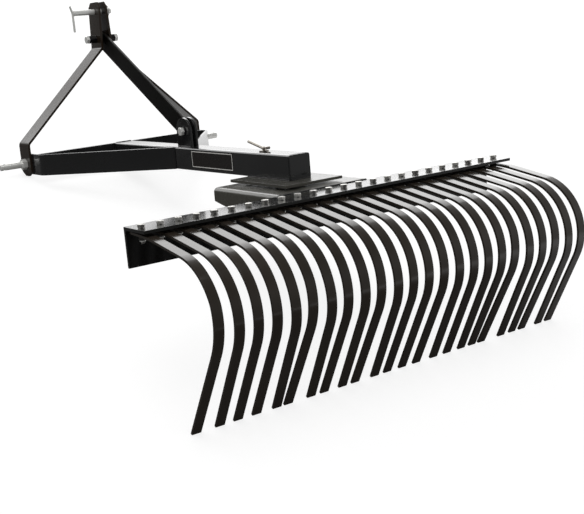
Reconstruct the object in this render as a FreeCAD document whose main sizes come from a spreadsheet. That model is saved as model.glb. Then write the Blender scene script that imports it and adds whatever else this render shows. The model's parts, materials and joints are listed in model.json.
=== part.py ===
import FreeCAD, Part
import math
import os
import re
import Sketcher

# Landscape rake for a three-point hitch, millimetres and degrees.
#
# The rake is drawn level, as a tractor carries it: +X along the beam, +Y forward to the tractor, +Z up,
# y = 0 on the front face of the beam's web and z = 0 on top of its flange.
# The last step tips the whole machine onto its tine tips and its mast feet, which is how it parks.

SIZES = [
    # Beam: an angle iron, flange on top, web hanging at the front.
    ("tine_count", 24, "tines along the beam"),
    ("tine_pitch", 50.8, "spacing of the tines and of their bolts"),
    ("beam_end", 19.3, "last bolt to the end of the beam"),
    ("beam_flange", 101.6, "width of the top flange"),
    ("beam_web", 101.6, "height of the front web"),
    ("beam_wall", 8, "thickness of flange and web"),
    ("beam_root", 6, "fillet between flange and web"),
    ("bolt_row", 55, "bolt line behind the front face of the web"),
    # Tines: flat spring bars.
    ("tine_width", 25.4, "width of a tine"),
    ("tine_wall", 6.35, "thickness of a tine"),
    ("tine_fall", 3.5, "fall of its clamped end below level"),
    ("tine_seat", 50, "bolt to the corner of the first bend"),
    ("tine_slope", 10.35, "fall of the upper run below level"),
    ("tine_reach", 345, "first bend to the corner of the hook, along the upper face"),
    ("tine_turn", 117.8, "heading of the hook's straight run, from rearward through down"),
    ("tine_hook", 429.5, "corner of the hook to the tip"),
    ("tine_root_bend", 490, "inside radius of the first bend"),
    ("tine_bend", 142, "inside radius of the hook"),
    ("tine_spacer", 4.5, "spacer between the flange and a tine"),
    ("tine_stray", 17, "furthest that a tip stands out of line, to one side"),
    ("tine_stray_at", 130, "where the hook starts to lean, below the seat"),
    ("tine_gap", 1.5, "front end of a tine to the beam's fillet"),
    # Fasteners of the tines.
    ("bolt_size", 10, "tine bolt"),
    ("bolt_hole", 11, "hole for a tine bolt"),
    ("bolt_flats", 17, "across flats of its head and nut"),
    ("bolt_head", 6.5, "height of its head"),
    ("bolt_washer", 18, "washer under its head"),
    ("bolt_washer_wall", 2.2, "its thickness"),
    ("nut_washers", 4.7, "flat and spring washer over its nut"),
    ("bolt_nut", 8.4, "height of its nut"),
    ("bolt_tail", 4.5, "thread standing out of the nut"),
    # Pivot channel: bent plate welded to the beam, carries the king bore and the index holes.
    ("pivot_width", 312, "over the sides"),
    ("pivot_length", 305, "forward of the web"),
    ("pivot_wall", 8, "plate"),
    ("pivot_bend", 5, "inside radius of its bends"),
    ("pivot_rise", 3, "top of the channel above the flange"),
    ("pivot_nose", 35, "bottom of its sides at the front, below the flange's top"),
    # King pin and index pin.
    ("king_offset", 145, "king pin ahead of the web"),
    ("king_size", 30, "king pin"),
    ("king_fit", 0.1, "running clearance round the king pin"),
    ("king_washer", 60, "washer under the channel"),
    ("king_washer_wall", 4, "its thickness"),
    ("king_flats", 46, "across flats of the king nut"),
    ("king_nut_height", 20, "king nut"),
    ("king_tail", 5, "pin below its nut"),
    ("slide_gap", 0.4, "play under and over the channel"),
    ("thrust_washer", 84, "thrust washer between plate and channel"),
    ("index_radius", 120, "index holes from the king pin"),
    ("index_size", 19, "index pin"),
    ("index_hole", 20.5, "its holes"),
    ("index_step", 15, "angle between index holes"),
    ("index_count", 7, "index holes"),
    ("index_lift", 1.5, "index pin drawn up inside the swivel plate, above its underside"),
    ("index_collar", 28, "collar on the index pin"),
    ("index_collar_wall", 3, "its thickness"),
    ("index_stem", 5, "collar to the middle of the grip"),
    ("index_grip", 8, "cross grip"),
    ("index_grip_length", 20, "its length"),
    ("index_knuckle", 12, "ball where grip and handle meet"),
    ("index_handle", 8, "handle rod"),
    ("index_handle_length", 78, "its length"),
    ("index_handle_rise", 13, "its angle above level"),
    # Swivel plate under the boom.
    ("swivel_gap", 6, "channel to swivel plate"),
    ("swivel_wall", 8, "plate"),
    ("swivel_width", 190, "across"),
    ("swivel_front", 164, "plate ahead of the king pin"),
    ("swivel_rear", 109, "plate behind the king pin"),
    # Boom: square tube.
    ("boom_size", 70, "outside"),
    ("boom_wall", 5, "tube wall"),
    ("boom_corner", 6, "outside corner radius"),
    ("boom_tail", 48, "closed end behind the king pin"),
    ("boom_cap", 5, "end cap"),
    ("boom_front", 1136, "front end, ahead of the web"),
    # Hitch frame.
    ("cross_wall", 10, "crossbar"),
    ("arm_wall", 8, "side arms"),
    ("arm_root", 715, "where the arms leave the boom, ahead of the web"),
    ("arm_elbow", 1106, "where the arms turn straight ahead"),
    ("arm_bend", 30, "inside radius of that turn"),
    ("arm_nose", 22, "arms ahead of the hitch pins"),
    ("hitch_spread", 683, "outside faces of the mast legs, where the lower links seat"),
    ("pin_ahead", 70, "hitch pins ahead of the crossbar"),
    ("pin_size", 22.2, "lower hitch pin"),
    ("pin_stud", 20, "its threaded stud"),
    ("pin_hole", 20.6, "hole for the stud"),
    ("pin_flats", 32, "hexagonal shoulder"),
    ("pin_shoulder", 16, "its length"),
    ("pin_reach", 78, "pin outside its shoulder"),
    ("pin_chamfer", 2, "end of the pin"),
    ("pin_key", 11.5, "linch pin hole"),
    ("pin_key_end", 13, "its centre to the end of the pin"),
    ("stud_flats", 30, "nut inside the arm"),
    ("stud_nut", 16, "its height"),
    ("stud_tail", 3, "thread past the nut"),
    # Mast: two bent flat bars.
    ("leg_width", 80, "flat bar"),
    ("leg_wall", 8, "flat bar"),
    ("leg_foot", 41.5, "foot below the hitch pins"),
    ("leg_knee", 69, "lower bend above the hitch pins"),
    ("leg_shoulder", 363, "upper bend above the hitch pins"),
    ("leg_over", 32, "top above the top link pin"),
    ("leg_bend", 12, "inside radius of the bends"),
    ("leg_gap", 30, "between the bars at the upper bend"),
    ("leg_lean", 2.5, "inward lean of the top plates"),
    ("foot_chamfer", 27, "chamfer of the foot, along the bar's width"),
    ("foot_rise", 15, "chamfer of the foot, up the bar"),
    ("head_chamfer", 16, "chamfer of the top corners, along the width"),
    ("head_drop", 18, "chamfer of the top corners, down the bar"),
    # Top link pin with its handle and linch pin.
    ("link_above", 93, "top link pin above the mast bolt"),
    ("link_size", 19, "top link pin"),
    ("link_hole", 20, "its holes"),
    ("link_left", 98, "pin to the left of the middle"),
    ("link_right", 46, "pin to the right of the middle"),
    ("link_key", 10.5, "linch pin hole"),
    ("link_key_at", 32, "linch pin hole from the middle"),
    ("link_handle", 8, "handle rod"),
    ("link_handle_up", 26, "handle above the pin"),
    ("link_handle_down", 64, "handle below the pin"),
    ("link_handle_bend", 16, "lean of the upper half"),
    ("linch_size", 9.5, "linch pin"),
    ("linch_length", 40, "linch pin"),
    ("linch_wire", 3, "ring wire"),
    # Mast bolt and its sleeves.
    ("mast_above", 32, "mast bolt above the upper bend of the legs"),
    ("mast_size", 16, "mast bolt"),
    ("mast_hole", 17, "its holes"),
    ("mast_flats", 24, "across flats"),
    ("mast_head", 10, "head"),
    ("mast_nut", 13, "nut"),
    ("mast_sleeve", 26, "outside diameter of the sleeves"),
    ("mast_sleeve_length", 27, "sleeves outside the bars"),
    # Brace from the mast to the lugs.
    ("brace_width", 60, "flat bar"),
    ("brace_wall", 10, "flat bar"),
    ("lug_ahead", 688, "lug bolt ahead of the web"),
    ("lug_height", 49, "lug bolt above the boom"),
    ("lug_width", 84, "ears"),
    ("lug_wall", 8, "ears"),
    ("lug_play", 0.5, "play each side of the brace"),
    ("lug_size", 16, "lug bolt"),
    ("lug_hole", 17, "its holes"),
    ("lug_flats", 24, "across flats"),
    ("lug_head", 10, "head"),
    ("lug_nut", 13, "nut"),
    ("lug_washer", 34, "washers"),
    ("lug_washer_wall", 3, "their thickness"),
    ("lug_tail", 3, "thread past the nut"),
]

# Tines whose hooks were bent a little out of line, counted from the left, as shares of tine_stray.
TINE_STRAY = {1: -1.0, 2: -0.2, 3: -0.2, 4: -0.1, 5: 0.4, 6: -0.6, 7: 0.5, 8: -0.1, 9: 0.3, 10: -0.3,
              11: 0.5, 14: -0.1, 15: 0.5, 16: 0.4, 17: 0.5, 18: -0.1, 19: -1.0, 20: 0.5, 21: 0.1,
              22: -0.6, 23: 0.4, 24: -0.2}

X = FreeCAD.Vector(1, 0, 0)
Y = FreeCAD.Vector(0, 1, 0)
Z = FreeCAD.Vector(0, 0, 1)

doc = FreeCAD.newDocument("LandscapeRake")
sheet = doc.addObject("Spreadsheet::Sheet", "Sizes")
for row, (alias, value, note) in enumerate(SIZES, start=1):
    sheet.set(f"A{row}", alias)
    sheet.set(f"B{row}", str(value))
    sheet.set(f"C{row}", note)
    sheet.setAlias(f"B{row}", alias)
doc.recompute()


# Sizes worked out from the driving ones, as expressions.
BEAM_LENGTH = "(tine_pitch * (tine_count - 1) + 2 * beam_end)"
FIRST_BOLT = "(-tine_pitch * (tine_count - 1) / 2)"
TINE_FRONT = "(-beam_wall - beam_root - tine_gap)"
TINE_START = f"(-beam_wall - tine_spacer + (bolt_row - bolt_washer / 2 + {TINE_FRONT}) * tan(tine_fall))"
BEND_Y = "(-bolt_row - tine_seat)"
BEND_Z = "(-beam_wall - tine_spacer - (tine_seat + bolt_washer / 2) * tan(tine_fall))"
HOOK_Y = f"({BEND_Y} - tine_reach * cos(tine_slope))"
HOOK_Z = f"({BEND_Z} - tine_reach * sin(tine_slope))"
TIP_Y = f"({HOOK_Y} - tine_hook * cos(tine_turn))"
TIP_Z = f"({HOOK_Z} - tine_hook * sin(tine_turn))"
NUT_SEAT = "(-beam_wall - tine_spacer - bolt_washer * tan(tine_fall) - tine_wall / cos(tine_fall))"
NUT_TOP = f"({NUT_SEAT} - nut_washers)"
SWIVEL_BASE = "(pivot_rise + swivel_gap)"
BOOM_BASE = "(pivot_rise + swivel_gap + swivel_wall)"
BOOM_TOP = f"({BOOM_BASE} + boom_size)"
BOOM_REAR = "(king_offset - boom_tail)"
ARM_FACE = "(hitch_spread / 2 - leg_wall)"
ARM_INSIDE = f"({ARM_FACE} - arm_wall)"
PIN_Y = "(boom_front + cross_wall + pin_ahead)"
PIN_Z = f"({BOOM_BASE} + boom_size / 2)"
MAST_Z = f"({PIN_Z} + leg_shoulder + mast_above)"
LINK_Z = f"({MAST_Z} + link_above)"
LEG_TOP = f"({LINK_Z} + leg_over)"
LUG_Z = f"({BOOM_TOP} + lug_height)"
KING_UNDER = "(pivot_rise - pivot_wall - slide_gap)"
KING_LOW = f"({KING_UNDER} - king_washer_wall - king_nut_height)"
# Faces of the mast's top plates at the mast bolt; they lean, so the sleeves' edges touch first.
MAST_FACE = "(leg_gap / 2 - mast_above * tan(leg_lean))"
MAST_OUTSIDE = f"({MAST_FACE} + leg_wall + mast_sleeve / 2 * tan(leg_lean))"
MAST_INSIDE = f"({MAST_FACE} - leg_wall * (1 / cos(leg_lean) - 1) - mast_sleeve / 2 * tan(leg_lean))"
INDEX_SWEEP = "(index_step * (index_count - 1))"


def with_sheet(expression):
    """Every name with an underscore is a cell of the sheet."""
    return re.sub(r"[a-z]+(?:_[a-z]+)+", lambda name: "Sizes." + name.group(), expression)


def number(expression):
    return float(sheet.evalExpression(with_sheet(expression)))


def bind(thing, prop, expression):
    thing.setExpression(prop, with_sheet(expression))


# ---------------------------------------------------------------- sketches

def new_body(name):
    body = doc.addObject("PartDesign::Body", name)
    body.Label = name
    return body


def new_sketch(body, name, plane, lift="0", ahead="0"):
    """A sketch on one of the body's origin planes, moved along its normal and along its vertical."""
    sketch = body.newObject("Sketcher::SketchObject", name)
    base = next(feature for feature in body.Origin.OriginFeatures if feature.Role == plane)
    sketch.AttachmentSupport = [(base, "")]
    sketch.MapMode = "FlatFace"
    if lift != "0":
        bind(sketch, "AttachmentOffset.Base.z", lift)
    if ahead != "0":
        bind(sketch, "AttachmentOffset.Base.y", ahead)
    return sketch


def dimension(sketch, kind, where, expression):
    index = sketch.addConstraint(Sketcher.Constraint(kind, *where, number(expression)))
    sketch.setExpression(f"Constraints[{index}]", with_sheet(expression))


def locate(sketch, curve, point, across, up):
    """Fix a point of a curve at (across, up) from the sketch's origin."""
    if across == "0":
        sketch.addConstraint(Sketcher.Constraint("PointOnObject", curve, point, -2))
    else:
        dimension(sketch, "DistanceX", (-1, 1, curve, point), across)
    if up == "0":
        sketch.addConstraint(Sketcher.Constraint("PointOnObject", curve, point, -1))
    else:
        dimension(sketch, "DistanceY", (-1, 1, curve, point), up)


def polygon(sketch, corners):
    """A closed outline through corners given as (across, up) expressions."""
    points = [FreeCAD.Vector(number(across), number(up), 0) for across, up in corners]
    count = len(points)
    first = sketch.GeometryCount
    for i in range(count):
        sketch.addGeometry(Part.LineSegment(points[i], points[(i + 1) % count]), False)
    for i in range(count):
        sketch.addConstraint(Sketcher.Constraint("Coincident", first + i, 2, first + (i + 1) % count, 1))
    for i, (across, up) in enumerate(corners):
        locate(sketch, first + i, 1, across, up)


def circle(sketch, across, up, diameter):
    centre = FreeCAD.Vector(number(across), number(up), 0)
    curve = sketch.addGeometry(Part.Circle(centre, Z, number(diameter) / 2), False)
    dimension(sketch, "Diameter", (curve,), diameter)
    locate(sketch, curve, 3, across, up)


def hexagon_outline(sketch, across, up, flats):
    """A hexagon about a centre, two of its flats facing sideways."""
    side, half = f"({flats}) / 2", f"({flats}) / sqrt(12)"
    corners = [(side, f"-{half}"), (side, half), ("0", f"2 * {half}"),
               (f"-{side}", half), (f"-{side}", f"-{half}"), ("0", f"-2 * {half}")]
    polygon(sketch, [(f"{across} + {x}", f"{up} + {y}") for x, y in corners])


def obround(sketch, ends, radius):
    """A bar's outline with a round end about each of two centres, the higher one first."""
    high, low = [FreeCAD.Vector(number(across), number(up), 0) for across, up in ends]
    size = number(radius)
    along = (high - low).normalize()
    left = FreeCAD.Vector(-along.y, along.x, 0) * size
    heading = math.atan2(along.y, along.x)
    quarter = math.pi / 2
    cap = Part.ArcOfCircle(Part.Circle(high, Z, size), heading - quarter, heading + quarter)
    foot = Part.ArcOfCircle(Part.Circle(low, Z, size), heading + quarter, heading + 3 * quarter)
    cap = sketch.addGeometry(cap, False)
    side = sketch.addGeometry(Part.LineSegment(high + left, low + left), False)
    foot = sketch.addGeometry(foot, False)
    back = sketch.addGeometry(Part.LineSegment(low - left, high - left), False)
    for one, two in ((cap, side), (side, foot), (foot, back), (back, cap)):
        sketch.addConstraint(Sketcher.Constraint("Tangent", one, 2, two, 1))
    locate(sketch, cap, 3, *ends[0])
    locate(sketch, foot, 3, *ends[1])
    dimension(sketch, "Radius", (cap,), radius)


def tongue(sketch, centre_across, centre_up, width, base_up):
    """An ear: straight sides up from a base line and a round top about the bolt."""
    centre = FreeCAD.Vector(number(centre_across), number(centre_up), 0)
    half = number(width) / 2
    side = FreeCAD.Vector(half, 0, 0)
    drop = FreeCAD.Vector(0, number(base_up) - centre.y, 0)
    top = Part.ArcOfCircle(Part.Circle(centre, Z, half), 0, math.pi)
    top = sketch.addGeometry(top, False)
    left = sketch.addGeometry(Part.LineSegment(centre - side, centre - side + drop), False)
    base = sketch.addGeometry(Part.LineSegment(centre - side + drop, centre + side + drop), False)
    right = sketch.addGeometry(Part.LineSegment(centre + side + drop, centre + side), False)
    sketch.addConstraint(Sketcher.Constraint("Tangent", top, 2, left, 1))
    sketch.addConstraint(Sketcher.Constraint("Coincident", left, 2, base, 1))
    sketch.addConstraint(Sketcher.Constraint("Coincident", base, 2, right, 1))
    sketch.addConstraint(Sketcher.Constraint("Tangent", right, 2, top, 1))
    sketch.addConstraint(Sketcher.Constraint("Vertical", left))
    sketch.addConstraint(Sketcher.Constraint("Horizontal", base))
    locate(sketch, top, 3, centre_across, centre_up)
    dimension(sketch, "Radius", (top,), f"({width}) / 2")
    dimension(sketch, "DistanceY", (-1, 1, base, 1), base_up)


def corner_turns(points):
    """+1 where a path through points turns left, -1 where it turns right."""
    turns = []
    for before, here, after in zip(points, points[1:], points[2:]):
        one = here - before
        two = after - here
        turns.append(1 if one.x * two.y - one.y * two.x > 0 else -1)
    return turns


def offset_corners(points, distance):
    """The corners of a path drawn parallel to the given one, to its left by distance."""
    headings = [(after - before).normalize() for before, after in zip(points, points[1:])]
    lefts = [FreeCAD.Vector(-heading.y, heading.x, 0) for heading in headings]
    moved = [points[0] + lefts[0] * distance]
    for here, one, two in zip(points[1:-1], lefts, lefts[1:]):
        bisector = (one + two).normalize()
        moved.append(here + bisector * (distance / bisector.dot(one)))
    moved.append(points[-1] + lefts[-1] * distance)
    return moved


def rounded_path(sketch, points, turns, radii):
    """Lines through points with tangent arcs at the corners. Returns the lines and the arcs."""
    lines, arcs, starts = [], [], [points[0]]
    ends = []
    for i, radius in enumerate(radii):
        here = points[i + 1]
        one = (here - points[i]).normalize()
        two = (points[i + 2] - here).normalize()
        tangent = radius * math.tan(one.getAngle(two) / 2)
        ends.append(here - one * tangent)
        starts.append(here + two * tangent)
    ends.append(points[-1])
    for start, end in zip(starts, ends):
        lines.append(sketch.addGeometry(Part.LineSegment(start, end), False))
    for i, (turn, radius) in enumerate(zip(turns, radii)):
        one = (ends[i] - starts[i]).normalize()
        centre = ends[i] + FreeCAD.Vector(-one.y, one.x, 0) * (turn * radius)
        entry = ends[i] - centre
        leave = starts[i + 1] - centre
        first, last = (entry, leave) if turn > 0 else (leave, entry)
        angles = (math.atan2(first.y, first.x), math.atan2(last.y, last.x))
        arc = sketch.addGeometry(Part.ArcOfCircle(Part.Circle(centre, Z, radius), *angles), False)
        arcs.append(arc)
        into, out = (1, 2) if turn > 0 else (2, 1)
        sketch.addConstraint(Sketcher.Constraint("Tangent", lines[i], 2, arc, into))
        sketch.addConstraint(Sketcher.Constraint("Tangent", arc, out, lines[i + 1], 1))
    return lines, arcs


def bent_bar(sketch, corners, bends, wall, side, square_start=True):
    """The outline of a bent flat bar.

    corners are those of one face, as (across, up) expressions, bends the inside radii, and the other
    face lies on the left (side = 1) or right (side = -1). The first end is cut square, or upright.
    """
    points = [FreeCAD.Vector(number(across), number(up), 0) for across, up in corners]
    turns = corner_turns(points)
    thick = number(wall)
    face_sizes = [f"({bend}) + {wall}" if turn == side else bend for turn, bend in zip(turns, bends)]
    back_sizes = [bend if turn == side else f"({bend}) + {wall}" for turn, bend in zip(turns, bends)]
    back_points = offset_corners(points, side * thick)
    if not square_start:
        heading = (back_points[1] - back_points[0]).normalize()
        back_points[0] -= heading * ((back_points[0].x - points[0].x) / heading.x)
    face, face_arcs = rounded_path(sketch, points, turns, [number(size) for size in face_sizes])
    back, back_arcs = rounded_path(sketch, back_points, turns, [number(size) for size in back_sizes])
    start = sketch.addGeometry(Part.LineSegment(back_points[0], points[0]), False)
    end = sketch.addGeometry(Part.LineSegment(points[-1], back_points[-1]), False)
    for one, two in (((start, 2), (face[0], 1)), ((face[-1], 2), (end, 1)),
                     ((end, 2), (back[-1], 2)), ((start, 1), (back[0], 1))):
        sketch.addConstraint(Sketcher.Constraint("Coincident", *one, *two))
    sketch.addConstraint(Sketcher.Constraint("Perpendicular", end, face[-1]))
    if square_start:
        sketch.addConstraint(Sketcher.Constraint("Perpendicular", start, face[0]))
    else:
        sketch.addConstraint(Sketcher.Constraint("Vertical", start))
    sketch.addConstraint(Sketcher.Constraint("Parallel", face[0], back[0]))
    sketch.addConstraint(Sketcher.Constraint("Parallel", face[-1], back[-1]))
    for arcs, sizes in ((face_arcs, face_sizes), (back_arcs, back_sizes)):
        for arc, size in zip(arcs, sizes):
            dimension(sketch, "Radius", (arc,), size)
    for one, two in zip(face_arcs, back_arcs):
        sketch.addConstraint(Sketcher.Constraint("Coincident", one, 3, two, 3))
    locate(sketch, face[0], 1, *corners[0])
    locate(sketch, face[-1], 2, *corners[-1])
    for i, (across, up) in enumerate(corners[1:-1]):
        corner = sketch.addGeometry(Part.Point(points[i + 1]), True)
        sketch.addConstraint(Sketcher.Constraint("PointOnObject", corner, 1, face[i]))
        sketch.addConstraint(Sketcher.Constraint("PointOnObject", corner, 1, face[i + 1]))
        locate(sketch, corner, 1, across, up)


# ---------------------------------------------------------------- features

def pad(body, sketch, length, symmetric=False, backwards=False):
    feature = body.newObject("PartDesign::Pad", sketch.Name + "_pad")
    feature.Profile = sketch
    bind(feature, "Length", length)
    feature.SideType = "Symmetric" if symmetric else "One side"
    feature.Reversed = backwards
    sketch.Visibility = False
    return feature


def cut_through(body, sketch):
    """Cut a sketch through the body both ways, and make sure that it takes material away."""
    before = body.Tip
    feature = body.newObject("PartDesign::Pocket", sketch.Name + "_cut")
    feature.Profile = sketch
    feature.Type = "ThroughAll"
    feature.SideType = "Symmetric"
    sketch.Visibility = False
    doc.recompute()
    if not feature.Shape.Volume < before.Shape.Volume:
        raise ValueError(f"{feature.Name} cuts nothing")
    return feature


def fillet_edges(body, radius, wanted):
    """Round the edges of the body's last feature that wanted() picks."""
    doc.recompute()
    last = body.Tip
    names = [f"Edge{i}" for i, edge in enumerate(last.Shape.Edges, start=1) if wanted(edge)]
    feature = body.newObject("PartDesign::Fillet", body.Name + "_fillet")
    feature.Base = (last, names)
    bind(feature, "Radius", radius)
    return feature


def cylinder(name, diameter, height, base="0"):
    """A cylinder along Z, base above the origin."""
    solid = doc.addObject("Part::Cylinder", name)
    bind(solid, "Radius", f"({diameter}) / 2")
    bind(solid, "Height", height)
    if base != "0":
        bind(solid, "Placement.Base.z", base)
    return solid


def hexagon(name, flats, height, base="0"):
    """A hexagonal prism along Z, two of its flats facing X."""
    solid = doc.addObject("Part::Prism", name)
    solid.Polygon = 6
    bind(solid, "Circumradius", f"({flats}) / sqrt(3)")
    bind(solid, "Height", height)
    bind(solid, "Placement.Base.z", base)
    return solid


def ball(name, diameter, base="0"):
    solid = doc.addObject("Part::Sphere", name)
    bind(solid, "Radius", f"({diameter}) / 2")
    bind(solid, "Placement.Base.z", base)
    return solid


def rod(name, diameter, length, start, direction):
    """A cylinder from a point along a direction."""
    solid = doc.addObject("Part::Cylinder", name)
    bind(solid, "Radius", f"({diameter}) / 2")
    bind(solid, "Height", length)
    solid.Placement = FreeCAD.Placement(start, FreeCAD.Rotation(Z, direction))
    return solid


def fuse(name, solids):
    joined = doc.addObject("Part::MultiFuse", name)
    joined.Label = name
    joined.Shapes = solids
    return joined


def cut(name, base, tool):
    result = doc.addObject("Part::Cut", name)
    result.Label = name
    result.Base = base
    result.Tool = tool
    return result


def group(name, solids):
    joined = doc.addObject("Part::Compound", name)
    joined.Label = name
    joined.Links = solids
    return joined


# ---------------------------------------------------------------- raking head

def bolt_row(body, features, direction):
    """Repeat features of the first bolt along the beam."""
    row = body.newObject("PartDesign::LinearPattern", body.Name + "_row")
    row.Originals = features
    row.Direction = (direction, ["H_Axis"])
    bind(row, "Length", "tine_pitch * (tine_count - 1)")
    bind(row, "Occurrences", "tine_count")
    body.Tip = row


def make_beam():
    body = new_body("beam")
    outline = new_sketch(body, "beam_outline", "YZ_Plane")
    polygon(outline, [("0", "0"), ("-beam_flange", "0"), ("-beam_flange", "-beam_wall"),
                      ("-beam_wall", "-beam_wall"), ("-beam_wall", "-beam_web"), ("0", "-beam_web")])
    pad(body, outline, BEAM_LENGTH, symmetric=True)
    wall = number("beam_wall")
    root = FreeCAD.Vector(0, -wall, -wall)
    fillet_edges(body, "beam_root", lambda edge: edge.CenterOfMass.distanceToPoint(root) < wall / 2)
    hole = new_sketch(body, "beam_hole", "XY_Plane")
    circle(hole, FIRST_BOLT, "-bolt_row", "bolt_hole")
    first = cut_through(body, hole)
    bolt_row(body, [first], hole)
    return body


def make_tine(name, stray):
    """A tine in the middle of the beam: clamped under its spacer, running back, hooked down and forward.

    Its side faces are upright as far as the hook, then lean so that the tip stands off by stray.
    """
    body = new_body(name)
    outline = new_sketch(body, name + "_outline", "YZ_Plane")
    bent_bar(outline,
             [(TINE_FRONT, TINE_START), (BEND_Y, BEND_Z), (HOOK_Y, HOOK_Z), (TIP_Y, TIP_Z)],
             ["tine_root_bend", "tine_bend"], "tine_wall", side=1)
    pad(body, outline, "tine_width + 2 * tine_stray", symmetric=True)
    sides = new_sketch(body, name + "_sides", "XZ_Plane")
    start, low = "(-beam_wall - tine_stray_at)", TIP_Z
    for hand in ("-", ""):
        edge, outside = f"{hand}(tine_width / 2)", f"{hand}(tine_width + 2 * tine_stray)"
        polygon(sides, [(edge, "tine_wall"), (edge, start), (f"{stray} * tine_stray + {edge}", low),
                        (f"{stray} * tine_stray + {edge}", f"{low} - tine_wall"),
                        (outside, f"{low} - tine_wall"), (outside, "tine_wall")])
    cut_through(body, sides)
    hole = new_sketch(body, name + "_hole", "XY_Plane")
    circle(hole, "0", "-bolt_row", "bolt_hole")
    cut_through(body, hole)
    return body


def make_tine_bolts():
    """Heads and washers on top of the flange, shanks down through the tines and their nuts."""
    body = new_body("tine_bolts")
    head = new_sketch(body, "tine_bolt_head", "XY_Plane", lift="bolt_washer_wall")
    hexagon_outline(head, FIRST_BOLT, "-bolt_row", "bolt_flats")
    washer = new_sketch(body, "tine_bolt_washer", "XY_Plane")
    circle(washer, FIRST_BOLT, "-bolt_row", "bolt_washer")
    shank = new_sketch(body, "tine_bolt_shank", "XY_Plane")
    circle(shank, FIRST_BOLT, "-bolt_row", "bolt_size")
    pads = [pad(body, head, "bolt_head"), pad(body, washer, "bolt_washer_wall"),
            pad(body, shank, f"bolt_nut + bolt_tail - {NUT_TOP}", backwards=True)]
    bolt_row(body, pads, head)
    return body


def make_tine_nuts():
    """Nuts under the tines, each with its flat and spring washer."""
    body = new_body("tine_nuts")
    washer = new_sketch(body, "tine_nut_washer", "XY_Plane", lift=NUT_SEAT)
    nut = new_sketch(body, "tine_nut", "XY_Plane", lift=NUT_TOP)
    circle(washer, FIRST_BOLT, "-bolt_row", "bolt_washer")
    hexagon_outline(nut, FIRST_BOLT, "-bolt_row", "bolt_flats")
    for sketch in (washer, nut):
        circle(sketch, FIRST_BOLT, "-bolt_row", "bolt_size")
    bolt_row(body, [pad(body, washer, "nut_washers", backwards=True),
                    pad(body, nut, "bolt_nut", backwards=True)], nut)
    return body


def make_tine_spacers():
    """Rings that hold the tines off the flange, so that they fall a little from the web back."""
    body = new_body("tine_spacers")
    ring = new_sketch(body, "tine_spacer_ring", "XY_Plane", lift="-beam_wall")
    circle(ring, FIRST_BOLT, "-bolt_row", "bolt_washer")
    circle(ring, FIRST_BOLT, "-bolt_row", "bolt_size")
    bolt_row(body, [pad(body, ring, "tine_spacer", backwards=True)], ring)
    return body


def make_pivot_channel():
    body = new_body("pivot_channel")
    outline = new_sketch(body, "pivot_outline", "XZ_Plane")
    half = "(pivot_width / 2)"
    bent_bar(outline,
             [(f"-{half}", "-beam_web"), (f"-{half}", "pivot_rise"),
              (half, "pivot_rise"), (half, "-beam_web")],
             ["pivot_bend", "pivot_bend"], "pivot_wall", side=-1)
    pad(body, outline, "pivot_length", backwards=True)
    rake = new_sketch(body, "pivot_rake", "YZ_Plane")
    polygon(rake, [("0", "-beam_web"), ("pivot_length", "-beam_web"), ("pivot_length", "-pivot_nose")])
    cut_through(body, rake)
    bore = new_sketch(body, "pivot_bore", "XY_Plane")
    circle(bore, "0", "king_offset", "king_size + 2 * king_fit")
    cut_through(body, bore)
    hole = new_sketch(body, "pivot_index", "XY_Plane", ahead="king_offset")
    circle(hole, f"index_radius * sin({INDEX_SWEEP} / 2)", f"index_radius * cos({INDEX_SWEEP} / 2)",
           "index_hole")
    first = cut_through(body, hole)
    arc = body.newObject("PartDesign::PolarPattern", "pivot_indexes")
    arc.Originals = [first]
    arc.Axis = (hole, ["N_Axis"])
    bind(arc, "Angle", INDEX_SWEEP)
    bind(arc, "Occurrences", "index_count")
    body.Tip = arc
    return body


# ---------------------------------------------------------------- swivel

def make_swivel_plate():
    body = new_body("swivel_plate")
    outline = new_sketch(body, "swivel_outline", "XY_Plane", lift=SWIVEL_BASE)
    half = "(swivel_width / 2)"
    rear, front = "king_offset - swivel_rear", "king_offset + swivel_front"
    polygon(outline, [(f"-{half}", rear), (half, rear), (half, front), (f"-{half}", front)])
    pad(body, outline, "swivel_wall")
    holes = new_sketch(body, "swivel_holes", "XY_Plane")
    circle(holes, "0", "king_offset", "king_size")
    circle(holes, "0", "king_offset + index_radius", "index_hole")
    cut_through(body, holes)
    return body


def make_thrust_washer():
    height = "swivel_gap - slide_gap"
    disc = cylinder("thrust_disc", "thrust_washer", height, "pivot_rise + slide_gap")
    bore = cylinder("thrust_bore", "king_size", height, "pivot_rise + slide_gap")
    return cut("swivel_washer", disc, bore)


def make_king_pin():
    """The king pin hangs from the swivel plate; washer and nut hold the channel up."""
    under, low = KING_UNDER, KING_LOW
    pin = cylinder("king_pin", "king_size", f"{BOOM_BASE} - {low} + king_tail")
    pin.Label = "king_pin"
    washer = cylinder("king_washer_disc", "king_washer", "king_washer_wall",
                      f"{under} - king_washer_wall")
    nut = hexagon("king_nut_blank", "king_flats", "king_nut_height", low)
    bore = cylinder("king_nut_bore", "king_size", "king_nut_height + king_washer_wall", low)
    return pin, cut("king_nut", fuse("king_nut_body", [washer, nut]), bore)


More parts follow.
